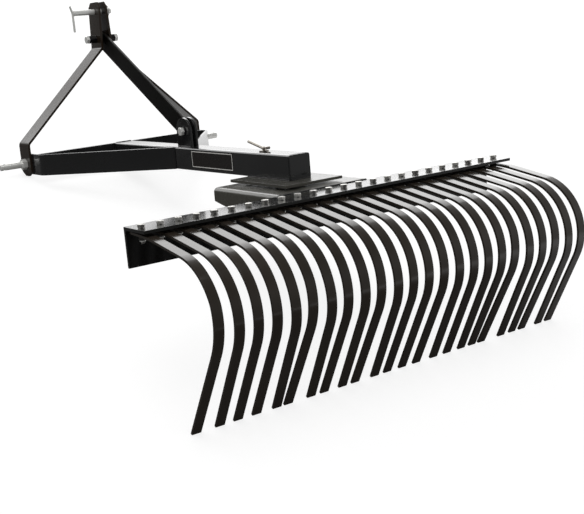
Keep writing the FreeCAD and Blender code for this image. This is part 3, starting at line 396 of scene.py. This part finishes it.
EDGE_RADIUS = {"tine": 1.6, "mast_leg": 1.8, "arm": 1.5, "brace": 1.8, "crossbar": 1.5, "beam": 1.2,
               "pivot_channel": 0.8, "swivel_plate": 0.8, "brace_lug": 1.0, "boom_end_cap": 1.2}
OWN_PAINT = {"beam": BEAM_PAINT, "mast_leg": LEG_PAINT, "brace": BRACE_PAINT,
             "pivot_channel": PLATE_PAINT, "swivel_plate": PLATE_PAINT}
counted = 0
for name in sorted(frame["nodes"]):
    stem = name.rstrip("0123456789").rstrip("_").replace("_left", "").replace("_right", "")
    if stem in EDGE_RADIUS:
        material = OWN_PAINT.get(stem, MATERIALS[SLOT_OF[name]])
        counted += len(break_edges(name, EDGE_RADIUS[stem], material).data.polygons)
print("bevelled faces", counted)

# %% [markdown]
# What is left of the solids keeps its own shape and only gets its material.

# %% Materials on the remaining solids
OWN_STEEL = {"lower_pin_left": PIN_STEEL, "lower_pin_right": PIN_STEEL, "top_link_pin": PIN_STEEL,
             "index_pin": HANDLE_STEEL}
for name, solid in frame["nodes"].items():
    for index in range(len(solid.data.materials)):
        solid.data.materials[index] = OWN_STEEL.get(name, MATERIALS[SLOT_OF[name]])

# %% [markdown]
# ## Bolts and nuts
# A hexagon head is turned before it is milled, so a cone trims its six corners and leaves the curved
# shoulders that catch the light. We get that shape exactly by walking round the head: where the hexagon
# stands further out than the cone, the cone cuts deeper. Shanks, washers and threads are turned, so
# they come from a profile spun round the axis.

# %% Turned and milled shapes
ROUND_STEPS, THREAD_STEPS, HEX_STEPS = 36, 24, 48
HEX_CONE, HEX_TRIM = math.tan(math.radians(30)), 0.96


def ring_faces(work, rings):
    """Skin a list of rings of vertices and close both ends."""
    for lower, upper in zip(rings, rings[1:]):
        count = len(lower)
        for i in range(count):
            work.faces.new((lower[i], lower[(i + 1) % count], upper[(i + 1) % count], upper[i]))
    work.faces.new(list(reversed(rings[0])))
    work.faces.new(rings[-1])


def circle(work, place, radius, height, steps=ROUND_STEPS):
    """A ring of vertices round local Z."""
    angles = (2 * math.pi * i / steps for i in range(steps))
    return [work.verts.new(place @ Vector((radius * math.cos(a), radius * math.sin(a), height)))
            for a in angles]


def spin(work, place, profile, steps=ROUND_STEPS):
    """Turn a profile of (radius, height) points round local Z."""
    ring_faces(work, [circle(work, place, radius, height, steps) for radius, height in profile])


def hexagon(work, place, flats, low, high, both=False):
    """A hexagon head or nut between two heights, its upper corners (or both) trimmed by a cone."""
    trimmed = flats / 2 * HEX_TRIM
    rings = [[], [], [], []]
    for i in range(HEX_STEPS):
        angle = 2 * math.pi * i / HEX_STEPS
        reach = flats / 2 / math.cos((angle + math.pi / 6) % (math.pi / 3) - math.pi / 6)
        drop = (reach - trimmed) * HEX_CONE
        flat = Vector((math.cos(angle), math.sin(angle), 0.0))
        levels = ((trimmed, low), (reach, low + drop), (reach, high - drop), (trimmed, high))
        if not both:
            levels = ((reach, low), (reach, low + 0.01), *levels[2:])
        for ring, (radius, height) in zip(rings, levels):
            ring.append(work.verts.new(place @ (flat * radius + Vector((0, 0, height)))))
    ring_faces(work, rings)


def washer(work, place, outside, inside, low, high, edge=0.3):
    """A flat ring with broken edges."""
    rings = [circle(work, place, radius, height)
             for radius, height in ((inside, low), (outside - edge, low), (outside, low + edge),
                                    (outside, high - edge), (outside - edge, high), (inside, high))]
    rings.append(rings[0])
    for lower, upper in zip(rings, rings[1:]):
        for i in range(ROUND_STEPS):
            j = (i + 1) % ROUND_STEPS
            work.faces.new((lower[i], lower[j], upper[j], upper[i]))


def thread(work, place, radius, low, high, pitch=1.5):
    """A threaded end: grooves down to a smaller radius, and a chamfered tip at the high end."""
    depth = pitch * 0.5
    profile = [(radius - depth, low)]
    height = low
    while height + pitch < high - depth:
        profile += [(radius, height + pitch * 0.4), (radius, height + pitch * 0.55),
                    (radius - depth, height + pitch * 0.95)]
        height += pitch
    profile += [(radius - depth * 0.2, high - depth), (radius - depth * 1.6, high)]
    spin(work, place, profile, THREAD_STEPS)


def make_piece(work, name, body, material, replaces=(), smooth_angle=30.0):
    """Turn a bmesh of level millimetres into a piece that rides on a body."""
    work.transform(LEVEL)
    bmesh.ops.recalc_face_normals(work, faces=work.faces)
    mesh = bpy.data.meshes.new(name)
    work.to_mesh(mesh)
    work.free()
    piece = finish_piece(mesh, name, body, material, smooth_angle)
    if replaces:
        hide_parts(*replaces)
    print(name, "faces", len(mesh.polygons))
    return piece


# %% [markdown]
# Every tine hangs on one bolt. The head stands on top of the flange, and a locking nut holds the tine
# from below. Next to the head and to the nut lies a split spring washer, whose ends stand a little
# apart. Each nut's hexagon is a dark zinc, a painted shade for the flange's shadow over it, and a turned
# collar closes each nut in bright steel, a painted highlight of its lit underside, so the collars are a
# piece of their own. Each bolt and nut is turned by chance.

# %% Tine bolts
BOLT_FLATS, BOLT_RADIUS, WASHER_RADIUS, SPRING_RADIUS = 17.0, 5.0, 9.0, 8.3
HEAD_FACE, SPRING_LOW, SPRING_HIGH = 2.2, 0.25, 1.95
NUT_WASHER, NUT_SPRING_LOW, NUT_SPRING_HIGH, NUT_WASHERS = 2.2, 2.5, 4.4, 4.7
NUT_HEX, NUT_HEIGHT, COLLAR_RADIUS = 5.1, 8.4, 7.9
RING_STEPS, RING_RISE, RING_START, RING_GAP = 30, 0.5, math.radians(12), math.radians(18)
low, high = level_box("tine_bolts")
nut_seat = -level_box("tine_nuts")[1].z
gap_low, gap_high = level_box("tine_spacers")
tine_total = sum(1 for name in frame["nodes"] if name.startswith("tine_") and name[5:].isdigit())
bolt_pitch = (high.x - low.x - 2 * WASHER_RADIUS) / (tine_total - 1)
turns = random.Random(7)


def spring_washer(work, place, low, high):
    """A split ring: its ends stand a little apart, one above the other."""
    rings = []
    for i in range(RING_STEPS + 1):
        angle = RING_START + (2 * math.pi - RING_GAP) * i / RING_STEPS
        lift = RING_RISE * (i / RING_STEPS - 0.5)
        radial = Vector((math.cos(angle), math.sin(angle), 0.0))
        rings.append([work.verts.new(place @ (radial * radius + Vector((0, 0, height + lift))))
                      for radius, height in ((BOLT_RADIUS, low), (SPRING_RADIUS, low),
                                             (SPRING_RADIUS, high), (BOLT_RADIUS, high))])
    ring_faces(work, rings)


work, nuts, collars, rings = (bmesh.new() for _ in range(4))
nut_face = nut_seat + NUT_WASHERS
collar = nut_face + NUT_HEX - 0.3
collar_profile = [(COLLAR_RADIUS, collar), (COLLAR_RADIUS, collar + 1.8), (COLLAR_RADIUS - 0.8, collar + 2.9),
                  (BOLT_RADIUS + 0.6, nut_face + NUT_HEIGHT)]
for i in range(tine_total):
    spot = Matrix.Translation((low.x + WASHER_RADIUS + i * bolt_pitch, (low.y + high.y) / 2, 0.0))
    place = spot @ Matrix.Rotation(turns.uniform(0, math.pi / 3), 4, "Z")
    down = spot @ Matrix.Rotation(math.pi, 4, "X") @ Matrix.Rotation(turns.uniform(0, math.pi / 3), 4, "Z")
    spring_washer(work, place, SPRING_LOW, SPRING_HIGH)
    hexagon(work, place, BOLT_FLATS, HEAD_FACE, high.z)
    washer(nuts, down, WASHER_RADIUS, BOLT_RADIUS, nut_seat, nut_seat + NUT_WASHER)
    spring_washer(nuts, down, nut_seat + NUT_SPRING_LOW, nut_seat + NUT_SPRING_HIGH)
    hexagon(nuts, down, BOLT_FLATS, nut_face, nut_face + NUT_HEX, both=True)
    spin(collars, down, collar_profile)
    thread(work, down, BOLT_RADIUS, nut_face + NUT_HEIGHT - 1.0, -low.z)
    spin(work, down, [(BOLT_RADIUS, -gap_high.z), (BOLT_RADIUS, nut_face)])
    washer(rings, place, WASHER_RADIUS, BOLT_RADIUS, gap_low.z, gap_high.z, 0.5)
make_piece(work, "tine_bolt_set", "head", ZINC, ("tine_bolts",))
# The nut hexagons get the dark zinc: painted shade under the flange.
make_piece(nuts, "tine_nut_set", "head", NUT_SHADE_ZINC, ("tine_nuts",))
# The collars are bright steel: a painted highlight standing in for the lit underside of each nut.
make_piece(collars, "tine_nut_collars", "head", PIN_STEEL)
make_piece(rings, "tine_spacer_set", "head", SLEEVE_PAINT, ("tine_spacers",))

# %% [markdown]
# The mast bolt, the lug bolt, the king nut and the stud nuts are the same shapes along other axes. Each
# is laid out along its own axis: ACROSS turns local Z to the machine's right.

# %% Larger bolts and nuts
ACROSS = Matrix.Rotation(math.pi / 2, 4, "Y")


def axle(node):
    """A place on a bolt's axis facing right, the same facing left, and the bolt's two ends."""
    low, high = level_box(node)
    middle = (low + high) / 2
    centre = Matrix.Translation((0.0, middle.y, middle.z))
    return centre @ ACROSS, centre @ ACROSS.inverted(), low.x, high.x


HITCH_FLATS, HITCH_HEAD, HITCH_NUT, HITCH_RADIUS = 24.0, 10.0, 13.0, 8.0
place, opposite, low, high = axle("mast_bolt")
work = bmesh.new()
hexagon(work, opposite, HITCH_FLATS, -low - HITCH_HEAD, -low)
spin(work, place, [(HITCH_RADIUS, low + HITCH_HEAD), (HITCH_RADIUS, high - HITCH_NUT)])
hexagon(work, place, HITCH_FLATS, high - HITCH_NUT, high - 1.5, both=True)
thread(work, place, HITCH_RADIUS, high - 2.5, high, 0.8)
make_piece(work, "mast_bolt_turned", "frame", PIN_STEEL, ("mast_bolt",))

LUG_TAIL, LUG_WASHER, LUG_WASHER_WALL = 3.0, 17.0, 3.0
place, opposite, low, high = axle("lug_bolt")
head_face, nut_face = -low - HITCH_HEAD, high - LUG_TAIL - HITCH_NUT
work, rings = bmesh.new(), bmesh.new()
washer(rings, opposite, LUG_WASHER, HITCH_RADIUS, head_face - LUG_WASHER_WALL, head_face)
hexagon(work, opposite, HITCH_FLATS, head_face, -low)
spin(work, place, [(HITCH_RADIUS, -head_face), (HITCH_RADIUS, nut_face)])
washer(rings, place, LUG_WASHER, HITCH_RADIUS, nut_face - LUG_WASHER_WALL, nut_face)
hexagon(work, place, HITCH_FLATS, nut_face, nut_face + HITCH_NUT, both=True)
thread(work, place, HITCH_RADIUS, nut_face + HITCH_NUT - 1.0, high)
make_piece(work, "lug_bolt_turned", "frame", PIN_STEEL, ("lug_bolt",))
# The lug washers are black paint: a painted dark reflection in the ring round the lug bolt's head and nut.
make_piece(rings, "lug_washers", "frame", SLEEVE_PAINT)

KING_FLATS, KING_RADIUS, KING_WASHER, KING_WASHER_WALL = 46.0, 15.0, 30.0, 4.0
low, high = level_box("king_nut")
down = Matrix.Rotation(math.pi, 4, "X")
work = bmesh.new()
washer(work, down, KING_WASHER, KING_RADIUS, -high.z, -high.z + KING_WASHER_WALL)
hexagon(work, down, KING_FLATS, -high.z + KING_WASHER_WALL, -low.z, both=True)
make_piece(work, "king_nut_turned", "frame", ZINC, ("king_nut",))

STUD_FLATS = 30.0
for side, inward in (("left", 1), ("right", -1)):
    place, opposite, low, high = axle(f"lower_pin_nut_{side}")
    face, tip = sorted((low * inward, high * inward))
    work = bmesh.new()
    hexagon(work, place if inward > 0 else opposite, STUD_FLATS, face, tip, both=True)
    make_piece(work, f"stud_nut_{side}", "frame", ZINC, (f"lower_pin_nut_{side}",))

# %% [markdown]
# ## Welds
# The frame is welded where its parts meet. A bead is a row of overlapping coins, each frozen as the
# torch moved on, so its width saw-tooths along the seam. A plain fillet would look cast. We sweep a ring
# of points along each seam, swell it coin by coin with a little unevenness, and sink half of it in the
# steel.

# %% Weld beads
BEAD_SIDES, COIN, STEP = 8, 2.8, 0.9


def bead(work, start, end, leg, seed):
    """One run of weld between two points in level millimetres."""
    wobble = random.Random(seed)
    start, end = Vector(start), Vector(end)
    along = end - start
    length = along.length
    along.normalize()
    side = along.orthogonal().normalized()
    other = along.cross(side)
    swell, rings, count = 1.0, [], max(6, int(length / STEP))
    for i in range(count + 1):
        s = length * i / count
        if i % 3 == 0:
            swell = wobble.uniform(0.9, 1.06)
        taper = min(1.0, 0.45 + min(s, length - s) / (leg * 1.2))
        radius = leg * taper * (0.84 + 0.16 * (1 - (s / COIN) % 1.0)) * (0.5 + 0.5 * swell)
        drift = side * wobble.uniform(-0.06, 0.06) * leg + other * wobble.uniform(-0.06, 0.06) * leg
        centre = start + along * s + drift
        rings.append([work.verts.new(centre + (side * math.cos(a) + other * math.sin(a)) * radius)
                      for a in (2 * math.pi * k / BEAD_SIDES for k in range(BEAD_SIDES))])
    ring_faces(work, rings)


def along_x(low, high, y, z, leg):
    """A seam across the machine."""
    return (low, y, z), (high, y, z), leg


def along_y(x, low, high, z, leg):
    """A seam down the machine's length."""
    return (x, low, z), (x, high, z), leg


def along_z(x, y, low, high, leg):
    """An upright seam."""
    return (x, y, low), (x, y, high), leg


def weld(name, body, runs, first_seed=0):
    """Lay all the seams of one body and make them a piece."""
    work = bmesh.new()
    for index, (start, end, leg) in enumerate(runs):
        bead(work, start, end, leg, first_seed + index)
    make_piece(work, name, body, WELD_PAINT, smooth_angle=60.0)


BASE_SEAM, CROSS_SEAM, ARM_SEAM, TOP_SEAM, LUG_SEAM, CAP_SEAM = 3.6, 3.0, 2.8, 2.6, 3.2, 1.1
CAP_SINK = 0.3
boom_low, boom_high = level_box("boom")
boom_half = (boom_low.z + boom_high.z) / 2
cap_low, cap_high = level_box("boom_end_cap")
plate_high = level_box("swivel_plate")[1]
cross_low, cross_high = level_box("crossbar")
runs = []
for x, sink in ((boom_low.x, CAP_SINK), (boom_high.x, -CAP_SINK)):
    runs.append(along_y(x, cap_low.y + 3, plate_high.y - 2, boom_low.z, BASE_SEAM))
    runs.append(along_z(x, cross_low.y, boom_low.z + 3, boom_high.z - 3, CROSS_SEAM))
    for z in (boom_low.z + 5, boom_high.z - 5):
        runs.append(along_z(x + sink, cap_high.y, z, boom_half, CAP_SEAM))
runs.append(along_x(boom_low.x + 2, boom_high.x - 2, cap_low.y, boom_low.z, BASE_SEAM))
runs.append(along_x(boom_low.x + 5, boom_high.x - 5, cap_high.y, boom_high.z - CAP_SINK, CAP_SEAM))
runs.append(along_x(boom_low.x + 5, boom_high.x - 5, cross_low.y, boom_high.z, TOP_SEAM))
for side, sign in (("left", -1), ("right", 1)):
    arm_rear = level_box(f"arm_{side}")[0].y
    lug_low, lug_high = level_box(f"brace_lug_{side}")
    runs.append(along_z(sign * boom_high.x, arm_rear, boom_low.z + 2, boom_high.z - 2, ARM_SEAM))
    for y in (cross_low.y, cross_high.y):
        runs.append(along_z(sign * cross_high.x, y, boom_low.z + 2, boom_high.z - 2, CROSS_SEAM))
    outer = lug_high.x if sign > 0 else lug_low.x
    runs.append(along_y(outer, lug_low.y + 2, lug_high.y - 2, lug_low.z, LUG_SEAM))
    for y in (lug_low.y, lug_high.y):
        runs.append(along_x(lug_low.x + 1, lug_high.x - 1, y, lug_low.z, TOP_SEAM))
weld("frame_welds", "frame", runs)

CHANNEL_SEAM, HEAD_SEED = 3.2, 40
channel_low, channel_high = level_box("pivot_channel")
beam_low, beam_high = level_box("beam")
runs = [along_x(channel_low.x + 6, channel_high.x - 6, channel_low.y + 0.5, beam_high.z, CHANNEL_SEAM)]
for x in (channel_low.x, channel_high.x):
    runs.append(along_z(x, channel_low.y, beam_low.z + 4, beam_high.z - 4, CHANNEL_SEAM))
weld("head_welds", "head", runs, HEAD_SEED)

# %% [markdown]
# ## Sign plate
# A thin plate is glued to the boom's left side. It stays bare: a black satin face with one fine white
# line round it. The line is a raised ring of ink 0.15 mm high, so it also shows in the mesh.

# %% Sign plate
SIGN_LENGTH, SIGN_HEIGHT, SIGN_WALL, SIGN_CORNER = 233.0, 52.0, 0.8, 2.0
SIGN_MIDDLE = (-35.0, 352.5, 54.0)
BORDER_OUTSIDE, BORDER_INSIDE, BORDER_CORNER = 3.0, 7.6, 0.6
INK_LOW, INK_HIGH, GLUE = SIGN_WALL - 0.1, SIGN_WALL + 0.15, -0.2
CORNER_STEPS = 6


def rounded_outline(length, height, corner):
    """Points of a rounded rectangle in the Y-Z plane."""
    points = []
    for cy, cz, first in ((1, 1, 0), (-1, 1, 90), (-1, -1, 180), (1, -1, 270)):
        for i in range(CORNER_STEPS + 1):
            angle = math.radians(first + 90 * i / CORNER_STEPS)
            points.append((cy * (length / 2 - corner) + corner * math.cos(angle),
                           cz * (height / 2 - corner) + corner * math.sin(angle)))
    return points


def sheet_ring(work, outer, inner, near, far):
    """A flat ring, or a plate if inner is None, between two X heights outside the boom."""
    x0, y0, z0 = SIGN_MIDDLE
    loops = [[work.verts.new((x0 - x, y0 + y, z0 + z)) for y, z in outline]
             for outline, x in ((outer, near), (outer, far))]
    if inner:
        loops += [[work.verts.new((x0 - x, y0 + y, z0 + z)) for y, z in inner] for x in (far, near)]
        loops.append(loops[0])
        for one, two in zip(loops, loops[1:]):
            for i in range(len(one)):
                j = (i + 1) % len(one)
                work.faces.new((one[i], one[j], two[j], two[i]))
    else:
        ring_faces(work, loops)


def plain_gloss(name, colour, roughness):
    """A printed or moulded face with a little unevenness in its sheen."""
    material, tree, shader = new_material(name)
    film = use(tree, PAINT_FILM, Drift_Scale=25.0)
    base = mix_colour(tree, film["Drift"], colour, tuple(min(1.0, c * 1.15 + 0.002) for c in colour))
    tree.links.new(base, shader.inputs["Base Color"])
    rough = math_node(tree, "ADD", math_node(tree, "MULTIPLY", film["Drift"], 0.12), roughness)
    tree.links.new(rough, shader.inputs["Roughness"])
    return material


SIGN_FACE = plain_gloss("sign_face", (0.010, 0.0075, 0.0065), 0.22)
SIGN_LINE = plain_gloss("sign_line", (0.72, 0.71, 0.68), 0.35)
work = bmesh.new()
sheet_ring(work, rounded_outline(SIGN_LENGTH, SIGN_HEIGHT, SIGN_CORNER), None, GLUE, SIGN_WALL)
make_piece(work, "sign_plate", "frame", SIGN_FACE)
work = bmesh.new()
outside = rounded_outline(SIGN_LENGTH - BORDER_OUTSIDE, SIGN_HEIGHT - BORDER_OUTSIDE, SIGN_CORNER)
inside = rounded_outline(SIGN_LENGTH - BORDER_INSIDE, SIGN_HEIGHT - BORDER_INSIDE,
                         SIGN_CORNER * BORDER_CORNER)
sheet_ring(work, outside, inside, INK_LOW, INK_HIGH)
make_piece(work, "sign_border", "frame", SIGN_LINE)

# %% [markdown]
# ## Studio
# The rake stands on a white sweep under large soft lamps. To the eye the floor is white and keeps the
# shadow. In a mirror it is another floor: rays that leave a glossy face see it nearly black on the left
# and white from about a metre to the right of the middle, along FAR_CORNER. That direction is fixed to
# the room, so the reflections stay in place when the view moves. Black paint only looks black where it
# mirrors something dark. In a plain white room the same paint would look paler.

# %% Floor
FLOOR_RADIUS = 30.0
FAR_CORNER = Vector((0.93, 0.37, 0.0))
FLOOR_GREY, MIRRORED_LESS, CAMERA_GLOW = 0.3, 0.19, 0.8


def mirrored_rays(tree):
    """Light Path's outputs, and 1 for the rays that leave a mirror or glass."""
    rays = node(tree, "LightPath").outputs
    return rays, math_node(tree, "MAXIMUM", rays["Is Glossy Ray"], rays["Is Transmission Ray"])


def reach_along(tree, place, direction):
    """How far a place, or the way to it, lies along a direction fixed to the room."""
    made = node(tree, "VectorMath", [("Vector", place)])
    made.operation = "DOT_PRODUCT"
    made.inputs[1].default_value = direction
    return made.outputs["Value"]


def smooth_ramp(tree, source, starts, ends, low, high):
    """Ease from low to high while the source goes from starts to ends."""
    made = node(tree, "MapRange", [("Value", source)])
    made.interpolation_type = "SMOOTHSTEP"
    made.inputs["From Min"].default_value, made.inputs["From Max"].default_value = starts, ends
    made.inputs["To Min"].default_value, made.inputs["To Max"].default_value = low, high
    return made.outputs["Result"]


floor_mesh = bpy.data.meshes.new("studio_floor")
work = bmesh.new()
bmesh.ops.create_circle(work, cap_ends=True, segments=64, radius=FLOOR_RADIUS)
work.to_mesh(floor_mesh)
work.free()
floor = bpy.data.objects.new("studio_floor", floor_mesh)
bpy.context.scene.collection.objects.link(floor)
material, tree, shader = new_material("white_floor")
shader.inputs["Roughness"].default_value = 0.9
shader.inputs["Specular IOR Level"].default_value = 0.0
rays, mirrored = mirrored_rays(tree)
position = node(tree, "NewGeometry").outputs["Position"]
lit = smooth_ramp(tree, reach_along(tree, position, FAR_CORNER), 0.0, 1.15, 0.02, 1.0)
glow = math_node(tree, "ADD", math_node(tree, "MULTIPLY", rays["Is Camera Ray"], CAMERA_GLOW),
                 math_node(tree, "MULTIPLY", mirrored, lit))
grey = math_node(tree, "SUBTRACT", FLOOR_GREY, math_node(tree, "MULTIPLY", mirrored, MIRRORED_LESS))
tree.links.new(grey, shader.inputs["Base Color"])
shader.inputs["Emission Color"].default_value = (1.0, 1.0, 1.0, 1.0)
tree.links.new(glow, shader.inputs["Emission Strength"])
floor_mesh.materials.append(material)

# %% [markdown]
# The sky is white to the eye, and in a mirror it too depends on where the mirrored ray goes: nearly
# black where the main view looks from, white where that view looks to, and dimmer straight overhead.
# CAMERA_HEADING is that direction, fixed in the room; no node reads the camera. To all other rays the
# sky is a plain, gentle light.

# %% Sky
CAMERA_HEADING = Vector((0.533, 0.846, 0.0))
world = bpy.data.worlds.new("studio_sky")
bpy.context.scene.world = world
world.use_nodes = True
tree = world.node_tree
rays, mirrored = mirrored_rays(tree)
towards = node(tree, "TexCoord").outputs["Generated"]
lit = smooth_ramp(tree, reach_along(tree, towards, CAMERA_HEADING), -0.75, 0.35, 0.06, 1.0)
height = node(tree, "SeparateXYZ", [("Vector", towards)]).outputs["Z"]
seen = math_node(tree, "MULTIPLY", lit, smooth_ramp(tree, height, 0.4, 0.8, 1.0, 0.2))
SKY_LIGHT = 0.45
others = math_node(tree, "SUBTRACT", 1.0, math_node(tree, "MAXIMUM", mirrored, rays["Is Camera Ray"]))
strength = math_node(tree, "ADD", math_node(tree, "MULTIPLY", others, SKY_LIGHT),
                     math_node(tree, "MULTIPLY", mirrored, seen))
strength = math_node(tree, "ADD", strength, rays["Is Camera Ray"])
tree.links.new(strength, tree.nodes["Background"].inputs["Strength"])
tree.nodes["Background"].inputs["Color"].default_value = (1.0, 1.0, 1.0, 1.0)

# %% [markdown]
# Four soft lamps do the rest. A tall one stands ahead on the right and another ahead on the left, one
# hangs overhead, and a weak one fills from the left.

# %% Lamps
def softbox(name, place, target, size, power):
    """A rectangular soft lamp at a place, facing a target; size is (width, height) in metres."""
    lamp = bpy.data.lights.new(name, "AREA")
    lamp.shape = "RECTANGLE"
    lamp.size, lamp.size_y = size
    lamp.energy = power
    made = bpy.data.objects.new(name, lamp)
    made.location = place
    made.rotation_euler = (Vector(target) - Vector(place)).to_track_quat("-Z", "Y").to_euler()
    made.visible_camera = False
    bpy.context.scene.collection.objects.link(made)


MIDDLE = (CAD_BOX[0] + CAD_BOX[1]) / 2
softbox("tall_front_lamp", (2.5, 3.9, 2.0), (0.0, 0.0, 1.6), (5.2, 4.0), 108.0)
softbox("overhead", (-0.4, -0.2, 3.4), MIDDLE, (2.4, 2.4), 38.0)
softbox("left_fill", (-3.4, -1.0, 1.6), MIDDLE, (2.0, 2.0), 6.0)
softbox("left_back", (-1.7, 4.6, 1.5), (-0.2, 0.8, 0.5), (2.6, 2.0), 31.0)

# %% [markdown]
# The camera stands behind the rake's left end and a little above it, tipped as a hand-held camera is.
# Its place is given from the king pin, in level millimetres.

# %% Camera
CAMERA_PLACE = Vector((-1716.7, -2390.1, 421.4))
AZIMUTH, ELEVATION, ROLL = (math.radians(a) for a in (-32.19, 12.87, -5.43))
back = Vector((math.sin(AZIMUTH) * math.cos(ELEVATION), -math.cos(AZIMUTH) * math.cos(ELEVATION),
               math.sin(ELEVATION)))
right = Vector((math.cos(AZIMUTH), math.sin(AZIMUTH), 0.0))
up = back.cross(right)
tipped_right = right * math.cos(ROLL) + up * math.sin(ROLL)
tipped_up = up * math.cos(ROLL) - right * math.sin(ROLL)
turn = Matrix((tipped_right, tipped_up, back)).transposed().to_4x4()
lens = bpy.data.cameras.new("camera")
lens.lens = 65.48
lens.sensor_width = 36.0
lens.shift_x = 0.0969
lens.shift_y = 0.0347
lens.clip_end = 100.0
camera = bpy.data.objects.new("camera", lens)
bpy.context.scene.collection.objects.link(camera)
camera.matrix_world = (Matrix.Translation(LEVEL @ CAMERA_PLACE) @ Matrix.Rotation(-NOSE_DOWN, 4, "X") @ turn)
bpy.context.scene.camera = camera
bpy.context.scene.view_settings.view_transform = "Standard"
print("camera", [round(v, 3) for v in camera.location])
